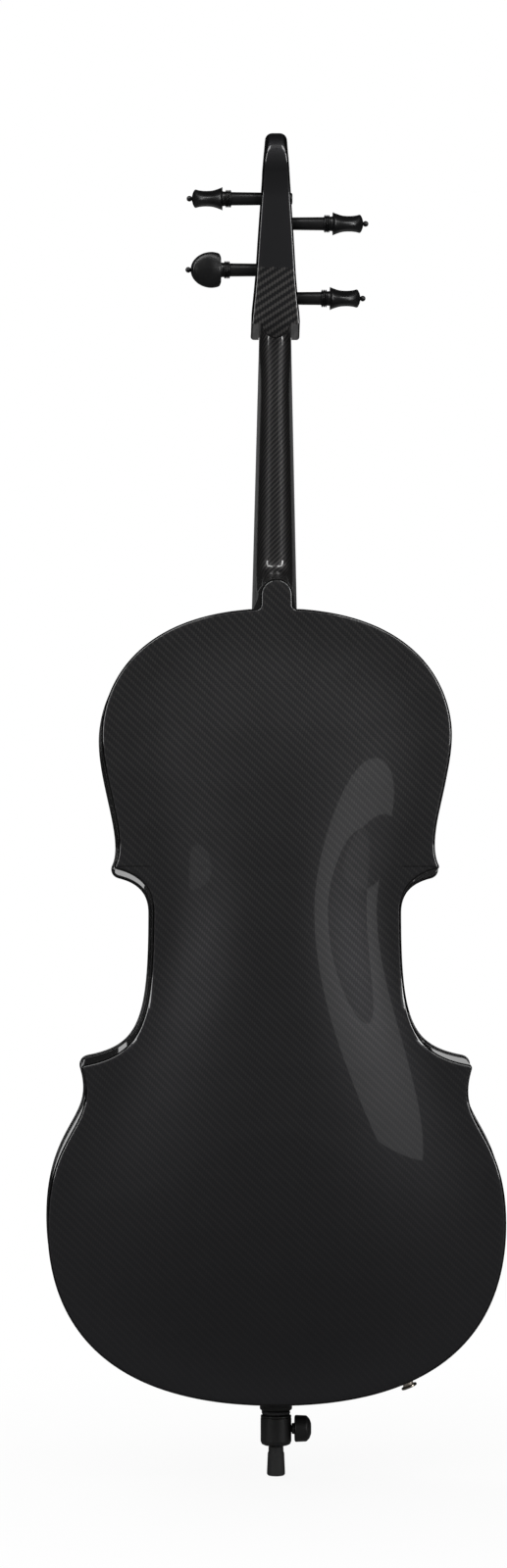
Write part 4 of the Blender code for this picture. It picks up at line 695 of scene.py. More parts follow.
def f_slot(side):
    """Outline of the curved slot between the two eyes, as (x, z)."""
    upper, lower = Vector(F_UPPER_EYE[:2]), Vector(F_LOWER_EYE[:2])
    middle, slant, curl = (upper + lower) / 2, Vector((-6, 34)) * MM, Vector((11, 15)) * MM
    start = upper + Vector((0.4, 0.8)) * F_UPPER_EYE[2]
    end = lower - Vector((0.4, 0.8)) * F_LOWER_EYE[2]
    spine = bezier(start, start + curl, middle + slant, middle, 20)
    spine += bezier(middle, middle - slant, end - curl, end, 20) + [end]
    left, right = [], []
    for k, point in enumerate(spine):
        run = spine[min(k + 1, len(spine) - 1)] - spine[max(k - 1, 0)]
        normal = Vector((-run.y, run.x)).normalized()
        half = F_SLOT_HALF * (0.45 + 0.55 * math.sin(math.pi * k / (len(spine) - 1)))
        left.append(point + normal * half)
        right.append(point - normal * half)
    return [(side * p.x, BRIDGE_Z + p.y) for p in left + right[::-1]]


for side in (1, -1):
    cut_out(top_skin, prism("slot", f_slot(side), lambda u, v, h: Vector((u, h, v)), FRONT_EDGE - 20 * MM,
                            FRONT_EDGE + TOP_ARCH + 10 * MM, body_twill))
    for x, z, radius in (F_UPPER_EYE, F_LOWER_EYE):
        hole = axis_frame((side * x, FRONT_EDGE - 20 * MM, BRIDGE_Z + z), (0, 1, 0), (1, 0, 0))
        cut_out(top_skin, turned("eye", [(0, 0), (0, radius), (60 * MM, radius), (60 * MM, 0)], hole, body_twill))
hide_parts("top_plate")
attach(top_skin, "instrument")

# Neck
# A carbon tube with a D-shaped back that swells into the heel behind the button. Its cloth is laid
# the other way round, so the twill rises to the right, and its tows are a little coarser.
HEEL_TOP, NECK_END = BODY_TOP + 62 * MM, NUT_Z - 6.5 * MM
BUTTON_Z = BODY_TOP + TAB_LENGTH
AXIS = Vector((-NECK_SLOPE, 1)).normalized()
NECK_CLOTH = 0.62


def neck_half(z):
    """Half the neck's width at the glue face: less than the board's between the nut and the foot."""
    run = smooth((NUT_Z - z) / (60 * MM)) * smooth((z - BODY_TOP - 6 * MM) / (12 * MM))
    return board_width(z) / 2 - 2.8 * MM * run


def neck_section(front_z, back, fullness, back_half, raised=GAP, steps=44):
    """A D-shaped section from a point of the glue face to a point of the neck's back."""
    face = Vector((neck_face(front_z) - raised, front_z))
    half = neck_half(front_z)
    ring = []
    for k in range(steps + 1):
        angle = math.pi * k / steps
        run = abs(math.sin(angle)) ** (2 / fullness)
        reach = abs(math.cos(angle)) ** (2 / fullness) * (1 if k < steps / 2 else -1)
        if k * 2 == steps:
            reach = 0
        place = face.lerp(back, run)
        ring.append(Vector((reach * mix(half, back_half, run), place.x, place.y)))
    return ring


def neck_back(front_z):
    depth = mix(20 * MM, 24 * MM, (NUT_Z - front_z) / (NUT_Z - HEEL_TOP))
    return Vector((neck_face(front_z), front_z)) + Vector((-AXIS.y, AXIS.x)) * depth


def wrapped(rings, scale, turn=0.0):
    """Places cloth on a lofted piece: round it from the middle of its back, and along it."""
    count = len(rings[0])
    places = []
    for ring in rings:
        walked = [0.0]
        for a, b in zip(ring, ring[1:]):
            walked.append(walked[-1] + (b - a).length)
        middle = walked[-1] / 2
        for k, point in enumerate(ring):
            u, v = (walked[k] - middle) / scale, point.z / scale
            places.append((u * math.cos(turn) - v * math.sin(turn), u * math.sin(turn) + v * math.cos(turn)))
    return lambda index, face: places[index]


def make_neck():
    rings = []
    for k in range(17):
        z = mix(NECK_END, HEEL_TOP, k / 16)
        rings.append(neck_section(z, neck_back(z), 2.2, neck_half(z)))
    start, end = neck_back(HEEL_TOP), Vector((HEEL_BACK, BUTTON_Z))
    curve = bezier(start, start - AXIS * 22 * MM, end + Vector((52, 2)) * MM, end, 30)[1:] + [end]
    for k, back in enumerate(curve):
        t = (k + 1) / len(curve)
        z = mix(HEEL_TOP, BUTTON_Z - 4 * MM, t)
        rings.append(neck_section(z, back, 2.2, mix(neck_half(z), TAB_HALF, t)))
    for drop, fullness in ((1, 2.4), (2.5, 3.0), (4.5, 3.6), (7, 4.5), (11, 8), (15, 14)):
        z = BUTTON_Z - drop * MM
        rings.append(neck_section(z - 4 * MM, Vector((HEEL_BACK, z)), fullness, TAB_HALF))
    rings.append(neck_section(FOOT_Z, Vector((HEEL_BACK, FOOT_Z)), 14, TAB_HALF))
    return loft("neck_and_heel", rings, neck_twill, 35, wrapped(rings, NECK_CLOTH))


neck_and_heel = make_neck()
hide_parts("neck")
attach(neck_and_heel, "instrument")

# Fingerboard and nut
# The board is a solid black composite, planed to a curved top and rubbed matt, with its edges just
# broken. The nut is a small ridge of the same at its upper end.
board_length = 575 * MM


def sagitta(half_width, radius=BOARD_RADIUS):
    return radius - math.sqrt(radius ** 2 - half_width ** 2)


def board_top(x, z):
    return neck_face(z) + BOARD_EDGE + sagitta(board_width(z) / 2) - sagitta(abs(x))


def board_section(z, raised):
    half = board_width(z) / 2
    arc = [half * (1 - 2 * k / 32) for k in range(33)]
    return ([Vector((x, board_top(x, z) + raised, z)) for x in arc]
            + [Vector((-half, neck_face(z), z)), Vector((half, neck_face(z), z))])


def matt_black(name, tone, grain, roughness):
    """Black composite: long faint streaks along the piece, and a sheen that varies with them."""
    material, tree, shader = finish_tree(name)
    place = add(tree, "ShaderNodeMapping", {"Vector": add(tree, "ShaderNodeTexCoord").outputs["Object"],
                                            "Scale": (1, 1, 0.05)})
    streaks = add(tree, "ShaderNodeTexNoise", {"Vector": place.outputs[0], "Scale": grain, "Detail": 4.0})
    colour = add(tree, "ShaderNodeMix", {0: streaks.outputs["Fac"], 6: srgb(tone[0]), 7: srgb(tone[1])},
                 data_type="RGBA").outputs[2]
    rough = add(tree, "ShaderNodeMapRange", {0: streaks.outputs["Fac"], 3: roughness - 0.06, 4: roughness + 0.06})
    bump = add(tree, "ShaderNodeBump", {"Height": streaks.outputs["Fac"], "Distance": 0.02 * MM, "Strength": 0.4})
    tree.links.new(colour, shader.inputs["Base Color"])
    tree.links.new(rough.outputs[0], shader.inputs["Roughness"])
    tree.links.new(bump.outputs[0], shader.inputs["Normal"])
    return material


def soften(made, width, angle=40):
    """Breaks a piece's sharp edges with a small round."""
    change = made.modifiers.new("edge", "BEVEL")
    change.width = width
    change.segments = 3
    change.limit_method = "ANGLE"
    change.angle_limit = math.radians(angle)
    change.harden_normals = False
    return settle(made)


# Its grey tones are lighter than the black composite is: painted sheen, so the board's edges and underside come out as
# bright as the light they reflect.
board_black_painted_sheen = matt_black("matt black fingerboard composite with painted sheen", ("4a4a4b", "5a5a5a"), 900.0, 0.5)
stations = [mix(NUT_Z, NUT_Z - board_length, k / 40) for k in range(41)]
board = soften(loft("board", [board_section(z, 0) for z in stations], board_black_painted_sheen), 0.7 * MM)
nut_ridge = soften(loft("nut_ridge", [board_section(z, 1 * MM) for z in (NUT_Z + GAP, NUT_Z + 6.8 * MM)],
                        board_black_painted_sheen), 0.8 * MM)
for made, node in ((board, "fingerboard"), (nut_ridge, "nut")):
    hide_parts(node)
    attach(made, "instrument")

# Head
# The carbon pegbox: two flat cheeks, a flat back that ends in a short tongue over the neck, and a
# plain flat-sided curl at its top. Every outer edge is rounded, and the maker's place is left bare.
HEAD_TILT = math.radians(15)
CHEEK_RISE, THROAT_AT = 19.5 * MM, 147.5 * MM
CURL_RADIUS, CURL_AT, CURL_BACK = 25.5 * MM, 175 * MM, 9 * MM
HEAD_ROUND, CURL_ROUND = 3.2 * MM, 7 * MM
HEAD_WIDTHS = ((0, 48), (27, 46.4), (44, 42.8), (64, 39.2), (101, 34.6), (130, 30.6), (160, 26.4), (174, 24.3),
               (186, 22.6), (202, 21.2))
HEAD_ORIGIN = Vector((0, board_top(0, NUT_Z), NUT_Z - 5.5 * MM))
HEAD_CLOTH = 1.08


def head_point(x, a, b):
    """World point from the head's own sizes: a up the head, b out of its front."""
    sine, cosine = math.sin(HEAD_TILT), math.cos(HEAD_TILT)
    return HEAD_ORIGIN + Vector((x, -a * sine + b * cosine, a * cosine + b * sine))


def head_half_width(a):
    for (a0, w0), (a1, w1) in zip(HEAD_WIDTHS, HEAD_WIDTHS[1:]):
        if a <= a1 * MM:
            return mix(w0, w1, (a / MM - a0) / (a1 - a0)) * MM / 2
    return HEAD_WIDTHS[-1][1] * MM / 2


def head_back(a):
    return -mix(43 * MM, 31 * MM, (a - CHEEK_RISE) / (THROAT_AT - CHEEK_RISE))


def make_head():
    stations = 24
    front = [(THROAT_AT * k / stations, 0.0) for k in range(stations + 1)]
    back = [(a, head_back(a)) for a in (mix(CHEEK_RISE, THROAT_AT - 3 * MM, k / stations)
                                        for k in range(stations + 1))]
    curl = []
    for k in range(1, 56):
        t = k / 56
        angle = mix(math.radians(208), math.radians(-64), t)
        radius = CURL_RADIUS * (1 - 0.16 * max(t - 0.45, 0) / 0.55)
        curl.append((CURL_AT + radius * math.sin(angle), -CURL_BACK + radius * math.cos(angle)))
    outline = front + curl[::-1] + back[::-1]
    count, columns = len(outline), []
    turns = [math.pi / 2 * k / 6 for k in range(7)]
    for way, angle in [(-1, t) for t in reversed(turns)] + [(0, 0)] + [(1, t) for t in turns]:
        column = []
        for k, (a, b) in enumerate(outline):
            before, after = outline[k - 1], outline[(k + 1) % count]
            run = Vector((after[0] - before[0], after[1] - before[1])).normalized()
            bend = mix(HEAD_ROUND, CURL_ROUND, smooth((a - 172 * MM) / (24 * MM)))
            sunk = bend * (1 - math.cos(angle))
            x = way * (head_half_width(a) - bend * (1 - math.sin(angle)))
            column.append(head_point(x, a + run.y * sunk, b - run.x * sunk))
        columns.append(column)
    points = [p for column in columns for p in column]
    faces = []
    for k in range(len(columns) - 1):
        faces += ring_faces(k * count, (k + 1) * count, count)
    for base, way in ((0, -1), ((len(columns) - 1) * count, 1)):
        centre = len(points)
        points.append(head_point(way * head_half_width(CURL_AT), CURL_AT, -CURL_BACK))
        last = count - 1
        for k in range(stations):
            faces.append((base + k, base + k + 1, base + last - k - 1, base + last - k))
        for k in range(stations, last - stations):
            faces.append((base + k, base + k + 1, centre))
        faces.append((base + last - stations, base + stations, centre))
    return points, faces, count


def head_cloth(points):
    def cloth(index, face):
        u, v = -points[index].x / HEAD_CLOTH, points[index].z / HEAD_CLOTH
        if abs(face.normal.x) > 0.7:
            u = points[index].y / HEAD_CLOTH
        turn = math.radians(-11)
        return u * math.cos(turn) - v * math.sin(turn), u * math.sin(turn) + v * math.cos(turn)
    return cloth


def join_on(made, part):
    change = made.modifiers.new("join", "BOOLEAN")
    change.operation = "UNION"
    change.solver = "EXACT"
    change.object = part
    settle(made)
    bpy.data.objects.remove(part)


head_points, head_faces, head_count = make_head()
head = piece("head_and_curl", head_points, head_faces, head_twill, 35, head_cloth(head_points))
# The head's rounded rims are painted near-black: painted dark reflection.
paint_edge_dark(head, lambda ring: ring < 5 or 10 <= ring < 15, head_count)
root_rings = [neck_section(z, neck_back(z), 2.2, neck_half(z))
              for z in (mix(NECK_END + GAP, NECK_END + 20.3 * MM, k / 4) for k in range(5))]
join_on(head, loft("root", root_rings, neck_twill, 35, wrapped(root_rings, NECK_CLOTH)))
tongue_rings = []
for deep, inset, share in ((0, 2.2, 1), (0.4, 1.1, 1), (1.1, 0.3, 1), (2.2, 0, 1), (6, 0.3, 1), (12, 2.5, 0.96),
                           (20, 6, 0.9)):
    ring = []
    for k in range(29):
        angle = math.pi * k / 28
        reach = (14.2 - inset) * MM
        ring.append(head_point(reach * math.cos(angle) * share,
                               CHEEK_RISE + 1 * MM - (14.8 - inset) * MM * math.sin(angle),
                               head_back(CHEEK_RISE) + deep * MM))
    for x in (-1, 1):
        ring.append(head_point(x * reach * share, CHEEK_RISE + 12 * MM, head_back(CHEEK_RISE) + 0.4 * MM + deep * MM))
    tongue_rings.append(ring)
tongue_points = [p for ring in tongue_rings for p in ring]
tongue = loft("tongue", tongue_rings, head_twill, 35, head_cloth(tongue_points))
# The tongue's rim is painted near-black: painted dark reflection.
paint_edge_dark(tongue, lambda ring: ring > 0, len(tongue_rings[0]))
join_on(head, tongue)
nut_room = []
for z in (NECK_END - 8 * MM, NUT_Z + 7.4 * MM):
    y, wide = neck_face(z) - GAP, board_width(min(z, NUT_Z)) / 2 + GAP
    nut_room.append([Vector((-wide, y, z)), Vector((wide, y, z)), Vector((wide, y + 30 * MM, z)),
                     Vector((-wide, y + 30 * MM, z))])
cut_out(head, loft("nut_room", nut_room, body_twill))
hollow = []
for k in range(9):
    a = mix(16 * MM, 150.5 * MM, k / 8)
    half, low = head_half_width(a) - 6.5 * MM, -mix(26 * MM, 23 * MM, k / 8)
    hollow.append([head_point(-half, a, low), head_point(half, a, low), head_point(half, a, 12 * MM),
                   head_point(-half, a, 12 * MM)])
cut_out(head, loft("hollow", hollow, body_twill))

# Pegs and their ball pins
# Four tapered pegs of gloss black composite, with a beaded collar and a waisted thumb piece, and a
# small round pin in each end. They are pushed into holes through both cheeks.
STRINGS = (
    ("c", 1.4 * MM, 41.8 * MM, 13.4 * MM, +1, 44.8 * MM, 7.4 * MM),
    ("g", 1.1 * MM, 113.9 * MM, 11.6 * MM, +1, 47.0 * MM, 3.0 * MM),
    ("d", 1.0 * MM, 137.7 * MM, 11.2 * MM, -1, 43.4 * MM, 2.4 * MM),
    ("a", 0.8 * MM, 69.2 * MM, 12.4 * MM, -1, 44.6 * MM, 7.0 * MM),
)
COLLAR, THUMB_WIDE, THUMB_LONG = 8.4 * MM, 34.9 * MM, 29.8 * MM


def gloss_black(name, tone, roughness):
    """Gloss black composite: a hint of mottling in the colour, and wear that dulls the polish."""
    material, tree, shader = finish_tree(name)
    where = add(tree, "ShaderNodeTexCoord").outputs["Object"]
    mottle = add(tree, "ShaderNodeTexNoise", {"Vector": where, "Scale": 420.0, "Detail": 5.0})
    wear = add(tree, "ShaderNodeTexNoise", {"Vector": where, "Scale": 90.0, "Detail": 3.0})
    colour = add(tree, "ShaderNodeMix", {0: mottle.outputs["Fac"], 6: srgb(tone[0]), 7: srgb(tone[1])},
                 data_type="RGBA").outputs[2]
    rough = add(tree, "ShaderNodeMapRange", {0: wear.outputs["Fac"], 3: roughness * 0.7, 4: roughness * 1.3})
    bump = add(tree, "ShaderNodeBump", {"Height": mottle.outputs["Fac"], "Distance": 0.01 * MM, "Strength": 0.3})
    tree.links.new(colour, shader.inputs["Base Color"])
    tree.links.new(rough.outputs[0], shader.inputs["Roughness"])
    tree.links.new(bump.outputs[0], shader.inputs["Normal"])
    return material


peg_black = gloss_black("satin black peg composite", ("0b0b0c", "131314"), 0.34)


def eased(rows, parts):
    """A smooth run through rows of numbers."""
    run = []
    for k in range(len(rows) - 1):
        four = [rows[max(k - 1, 0)], rows[k], rows[k + 1], rows[min(k + 2, len(rows) - 1)]]
        for j in range(parts):
            t = j / parts
            run.append(tuple(0.5 * (2 * p1 + (p2 - p0) * t + (2 * p0 - 5 * p1 + 4 * p2 - p3) * t * t
                                    + (3 * p1 - p0 - 3 * p2 + p3) * t ** 3) for p0, p1, p2, p3 in zip(*four)))
    return run + [tuple(rows[-1])]


def peg_stations(reach):
    """Stations along a peg: distance from its collar, half width across and half thickness."""
    rows = [(-reach, 4.2 * MM, 4.2 * MM), (-reach + 0.3 * MM, 5.2 * MM, 5.2 * MM),
            (-reach + 1 * MM, 5.8 * MM, 5.8 * MM), (-0.4 * MM, 6.4 * MM, 6.4 * MM)]
    for k in range(28):
        at = k / 27 * 5.4
        radius = 7.0 + 1.6 * abs(math.sin(math.pi * at / 1.8)) ** 0.7
        rows.append((at * MM, radius * MM, radius * MM))
    rows += [(COLLAR - 0.6 * MM, 7.1 * MM, 7.1 * MM), (COLLAR - 0.1 * MM, 7.3 * MM, 7.3 * MM)]
    belly = 0.31 * THUMB_LONG
    thumb = [(0, 11.4 * MM, 11.2 * MM), (0.7 * MM, 13.8 * MM, 10.9 * MM), (2.6 * MM, 16.2 * MM, 10.0 * MM)]
    for share, thick in ((0.31, 7.9), (0.55, 7.4), (0.75, 7.9), (0.89, 8.7), (0.96, 5.6)):
        at = share * THUMB_LONG
        across = THUMB_WIDE / 2 * math.sqrt(1 - ((at - belly) / (THUMB_LONG - belly)) ** 2)
        thumb.append((at, across, thick * MM))
    thumb += [(0.985 * THUMB_LONG, 3.4 * MM, 3.2 * MM), (0.995 * THUMB_LONG, 2.2 * MM, 2.1 * MM)]
    return rows + [(COLLAR + at, across, thick) for at, across, thick in eased(thumb, 5)]


def peg_frame(a, b, side):
    return axis_frame(head_point(0, a, -b), (side, 0, 0), (0, -math.sin(HEAD_TILT), math.cos(HEAD_TILT)))


def make_peg(name, a, b, side, collar_at, face_on):
    reach = collar_at + head_half_width(a) + (1.4 if name == "d" else -0.1) * MM
    own = peg_frame(a, b, side)
    rings = []
    for at, across, thick in peg_stations(reach):
        ring = []
        for k in range(40):
            angle = math.tau * (k + 0.5) / 40
            u, v = across * math.cos(angle), thick * math.sin(angle)
            if not face_on:
                u, v = -v, u
            ring.append(own @ Vector((collar_at + at, u, v)))
        rings.append(ring)
    peg = loft(f"peg_{name}_turned", rings, peg_black, 40)
    ball = [(-4 * MM, 0), (-4 * MM, 1.1 * MM), (-2.6 * MM, 1.1 * MM)]
    for k in range(2, 13):
        angle = math.pi * k / 13
        ball.append((-2.8 * MM * math.cos(angle), 2.8 * MM * math.sin(angle)))
    ball.append((2.8 * MM, 0))
    pin = turned(f"pin_{name}_ball", ball, own @ Matrix.Translation((collar_at + 40.4 * MM, 0, 0)), peg_black, 24)
    for made, node in ((peg, f"peg_{name}"), (pin, f"pin_{name}")):
        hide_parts(node)
        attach(made, f"{name}_peg")
    near, far = collar_at - 1 * MM, -head_half_width(a) - 5 * MM
    cut_out(head, turned("peg_hole", [(far, 0), (far, 6.2 * MM), (near, 6.8 * MM), (near, 0)], own, body_twill))


for name, wire, peg_a, peg_b, side, collar_at, wind_from in STRINGS:
    make_peg(name, peg_a, peg_b, side, collar_at, name == "a")
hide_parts("pegbox")
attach(head, "instrument")

# Endpin plug, rod, tip and thumb screw
# A turned black plug in the body's lower end, with a ring, a cord groove and a clamp collar. The
# thumb screw in the collar holds the carbon rod, and the rod stands on a moulded rubber tip.
TIP_LONG, COLLAR_BASE = 28.5 * MM, 28.8 * MM
GROOVE_BASE, RING_BASE = 57.6 * MM, 62.2 * MM
ROD_HOLE = 5.3 * MM


def satin_black(name, tone, roughness, grain):
    """Moulded or anodised black: fine even grain in the colour and the surface."""
    material, tree, shader = finish_tree(name)
    where = add(tree, "ShaderNodeTexCoord").outputs["Object"]
    speck = add(tree, "ShaderNodeTexNoise", {"Vector": where, "Scale": grain, "Detail": 6.0, "Roughness": 0.6})
    colour = add(tree, "ShaderNodeMix", {0: speck.outputs["Fac"], 6: srgb(tone[0]), 7: srgb(tone[1])},
                 data_type="RGBA").outputs[2]
    rough = add(tree, "ShaderNodeMapRange", {0: speck.outputs["Fac"], 3: roughness - 0.08, 4: roughness + 0.08})
    bump = add(tree, "ShaderNodeBump", {"Height": speck.outputs["Fac"], "Distance": 0.04 * MM, "Strength": 0.5})
    tree.links.new(colour, shader.inputs["Base Color"])
    tree.links.new(rough.outputs[0], shader.inputs["Roughness"])
    tree.links.new(bump.outputs[0], shader.inputs["Normal"])
    return material


plug_black = satin_black("satin black plug composite", ("101010", "1b1b1b"), 0.42, 1500.0)
rubber = satin_black("moulded black rubber", ("141414", "212121"), 0.72, 2600.0)


def rounded_profile(corners, bend, steps=5):
    """A turned profile whose corners are rounded by a small bend."""
    path = [Vector(corners[0])]
    for before, corner, after in zip(corners, corners[1:], corners[2:]):
        before, corner, after = Vector(before), Vector(corner), Vector(after)
        start = corner + (before - corner).normalized() * min(bend, (before - corner).length * 0.45)
        end = corner + (after - corner).normalized() * min(bend, (after - corner).length * 0.45)
        for k in range(steps + 1):
            t = k / steps
            path.append((1 - t) ** 2 * start + 2 * t * (1 - t) * corner + t * t * end)
    return [tuple(p) for p in path] + [tuple(corners[-1])]


plug_profile = rounded_profile([
    (COLLAR_BASE, ROD_HOLE), (COLLAR_BASE, 10.8 * MM), (COLLAR_BASE + 1.2 * MM, 13.6 * MM),
    (COLLAR_BASE + 4 * MM, 14.8 * MM), (GROOVE_BASE - 2.6 * MM, 14.8 * MM), (GROOVE_BASE - 2.6 * MM, 14.1 * MM),
    (GROOVE_BASE - 2.0 * MM, 14.1 * MM), (GROOVE_BASE - 2.0 * MM, 14.8 * MM), (GROOVE_BASE, 14.6 * MM),
    (GROOVE_BASE, 9.6 * MM), (RING_BASE, 9.6 * MM), (RING_BASE, 14.2 * MM),
    (RING_BASE + 1.2 * MM, 15.5 * MM), (RING_BASE + 5.4 * MM, 15.5 * MM), (RING_BASE + 7.6 * MM, 14.4 * MM),
    (RING_BASE + 7.6 * MM, 13 * MM),
    (RING_BASE + 52.6 * MM, 11.5 * MM), (RING_BASE + 52.6 * MM, ROD_HOLE), (COLLAR_BASE + 10 * MM, ROD_HOLE),
    (COLLAR_BASE, ROD_HOLE)], 0.7 * MM)
plug = turned("plug_and_collar", plug_profile, UPRIGHT, plug_black, 64, 50)
SCREW_Z = COLLAR_BASE + 0.55 * 28.8 * MM
SCREW_FRAME = axis_frame((0, 0, SCREW_Z), (1, 0, 0), (0, 1, 0))
cut_out(plug, turned("screw_hole", [(0, 0), (0, 3.36 * MM), (18 * MM, 3.36 * MM), (18 * MM, 0)], SCREW_FRAME,
                     plug_black))
rod = turned("rod", [(8.5 * MM, 0), (8.5 * MM, 5 * MM), (487.5 * MM, 5 * MM), (488.5 * MM, 4 * MM), (488.5 * MM, 0)],
             UPRIGHT, plug_black, 40)
tip_corners = [(0, 0), (0, 7.4 * MM), (1.4 * MM, 8.7 * MM), (4 * MM, 8.7 * MM), (21.8 * MM, 7.9 * MM),
               (22.5 * MM, 7.3 * MM), (28.5 * MM, 7.1 * MM), (28.5 * MM, ROD_HOLE), (8.2 * MM, ROD_HOLE), (8.2 * MM, 0)]
tip = turned("tip_moulding", [tip_corners[0]] + rounded_profile(tip_corners, 0.8 * MM)[1:], UPRIGHT, rubber, 48, 50)
knob_at = 15.1 * MM
knob_corners = [(5.3 * MM, 0), (5.3 * MM, 3 * MM), (knob_at, 3 * MM), (knob_at, 5.2 * MM),
                (knob_at + 2.6 * MM, 5.2 * MM), (knob_at + 2.6 * MM, 11.6 * MM), (knob_at + 3.6 * MM, 12.8 * MM),
                (knob_at + 14 * MM, 12.4 * MM), (knob_at + 17 * MM, 9.4 * MM), (knob_at + 18.6 * MM, 5 * MM),
                (knob_at + 18.6 * MM, 0)]
knob = turned("clamp_screw", rounded_profile(knob_corners, 1.0 * MM), SCREW_FRAME, plug_black, 48, 50)
for made, node, body, slot in ((plug, "endpin_plug", "instrument", "ebony"), (rod, "endpin_rod", "endpin", "ebony"),
                               (tip, "rubber_tip", "endpin", "rubber"),
                               (knob, "thumb_screw", "endpin_lock", "ebony")):
    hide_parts(node)
    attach(made, body)

# Bridge
# A slab of quarter-sawn maple, thinner at its top, carved with a heart and two deep waists. Its feet
# are cut to the arching of the top.
BRIDGE_TOP, BRIDGE_FOOT = 173.7 * MM, 46 * MM


def wood(name, light, dark, spacing, grain_axis, fleck):
    """Planed wood: growth lines, which cross the given axis, broken up by fine pores and flecks."""
    material, tree, shader = finish_tree(name)
    where = add(tree, "ShaderNodeTexCoord").outputs["Object"]
    stretch = [1.0, 1.0, 1.0]
    stretch[grain_axis] = 0.06
    place = add(tree, "ShaderNodeMapping", {"Vector": where, "Scale": stretch})
    rings = add(tree, "ShaderNodeTexWave", {"Vector": place.outputs[0], "Scale": 1 / spacing, "Distortion": 1.6,
                                            "Detail": 3.0, "Detail Scale": 2.0}, bands_direction="X")
    pores = add(tree, "ShaderNodeTexNoise", {"Vector": place.outputs[0], "Scale": fleck, "Detail": 5.0})
    share = calc(tree, "MULTIPLY", rings.outputs["Fac"], calc(tree, "MULTIPLY_ADD", pores.outputs["Fac"], 0.7, 0.4))
    colour = add(tree, "ShaderNodeMix", {0: share, 6: srgb(light), 7: srgb(dark)}, data_type="RGBA").outputs[2]
    rough = add(tree, "ShaderNodeMapRange", {0: pores.outputs["Fac"], 3: 0.42, 4: 0.6})
    bump = add(tree, "ShaderNodeBump", {"Height": pores.outputs["Fac"], "Distance": 0.03 * MM, "Strength": 0.5})
    tree.links.new(colour, shader.inputs["Base Color"])
    tree.links.new(rough.outputs[0], shader.inputs["Roughness"])
    tree.links.new(bump.outputs[0], shader.inputs["Normal"])
    return material


def bridge_outline():
    """The bridge as (x, y) from its top to the middle of its arch, and where its feet touch."""
    belly = top_face(0, BRIDGE_Z)
    height, foot_in = BRIDGE_TOP - belly, BRIDGE_FOOT - 17 * MM
    crown = [(x, BRIDGE_TOP - sagitta(x)) for x in (27 * MM * k / 12 for k in range(13))]
    side = [(28.5, 0.86), (24.5, 0.76), (20.5, 0.66), (21, 0.56), (28, 0.49), (35, 0.44), (36.5, 0.37),
            (31, 0.33), (26, 0.32), (25, 0.27), (32, 0.22), (39, 0.14), (42, 0.07)]
    side = eased([(x * MM, belly + share * height) for x, share in side], 5)
    foot = [(BRIDGE_FOOT, top_face(BRIDGE_FOOT, BRIDGE_Z) + 3.5 * MM)]
    sole = [(mix(BRIDGE_FOOT, foot_in, k / 8), None) for k in range(9)]
    arch_line = eased([(foot_in - 1 * MM, top_face(foot_in, BRIDGE_Z) + 5 * MM), (24 * MM, belly + 0.11 * height),
                       (17 * MM, belly + 0.19 * height), (9 * MM, belly + 0.235 * height),
                       (0, belly + 0.25 * height)], 5)
    half = crown + side + foot + sole + arch_line
    return half + [(-x, y) for x, y in reversed(half[1:-1])]


def make_bridge():
    rings = []
    for way in (-1, 1):
        ring = []
        for x, y in bridge_outline():
            if y is None:
                z = BRIDGE_Z + way * 5.5 * MM
                ring.append(Vector((x, top_face(x, z) + GAP, z)))
                continue
            t = min(max((y - FRONT_EDGE) / (BRIDGE_TOP - FRONT_EDGE), 0), 1)
            ring.append(Vector((x, y, BRIDGE_Z + way * mix(5.5, 1.7, t) * MM)))
        rings.append(ring)
    made = soften(loft("bridge_carved", rings, bridge_maple), 0.6 * MM, 50)
    belly = top_face(0, BRIDGE_Z)
    heart = eased([(0, 0.47), (4.5, 0.53), (6.5, 0.6), (3.5, 0.64), (0, 0.61)], 5)
    heart = heart + [(-x, share) for x, share in reversed(heart[1:-1])]
    outline = [(x * MM, belly + share * (BRIDGE_TOP - belly)) for x, share in heart]
    cut_out(made, prism("heart", outline, lambda u, v, h: Vector((u, v, BRIDGE_Z + h)), -11 * MM, 11 * MM,
                        bridge_maple))
    return made


bridge_maple = wood("planed maple", "c9975f", "8f5c31", 4.2 * MM, 0, 1400.0)
bridge = make_bridge()
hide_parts("bridge")
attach(bridge, "instrument")

# Tailpiece and its four fine tuners
# A moulded black tailpiece with a crowned face. A plated lever rocks in a slot under each string,
# and a screw with a knurled head pushes its long arm down.
TAIL_LONG = 225 * MM
TAIL_HEAD = Vector((0, 128 * MM, BRIDGE_Z - 118 * MM))
TAIL_RUN = Vector((0, -48 * MM, -math.sqrt(TAIL_LONG ** 2 - (48 * MM) ** 2))).normalized()
TAIL_UP = Vector((0, -TAIL_RUN.z, TAIL_RUN.y))
TAIL_THICK, PIVOT_AT, SCREW_AT, BLADE = 8 * MM, 22 * MM, 50 * MM, 3.2 * MM
HOOK, LEVER_DROP = 6.5 * MM, TAIL_THICK + 2.5 * MM


def tail_point(x, run, up):
    return TAIL_HEAD + Vector((x, 0, 0)) + TAIL_RUN * run + TAIL_UP * up


def tail_half(run):
    t = run / TAIL_LONG
    return mix(31, 13.5, smooth(t) * 0.4 + t * 0.6) * MM


def tail_crown(x, run):
    half = tail_half(run)
    return 5.5 * half / 31 * (1 - (x / half) ** 2) * 0.8


def make_tailpiece():
    rings = []
    for k in range(49):
        run = TAIL_LONG * k / 48
        at_end = max(1 - min(k, 48 - k) / 1.2, 0)
        half = tail_half(run) - 2.5 * MM * at_end ** 2
        ring = [tail_point(half * (1 - j / 12), run, tail_crown(half * (1 - j / 12), run)) for j in range(25)]
        rings.append(ring + [tail_point(-half, run, -TAIL_THICK), tail_point(half, run, -TAIL_THICK)])
    return soften(loft("tailpiece_moulding", rings, plug_black), 0.9 * MM, 30)


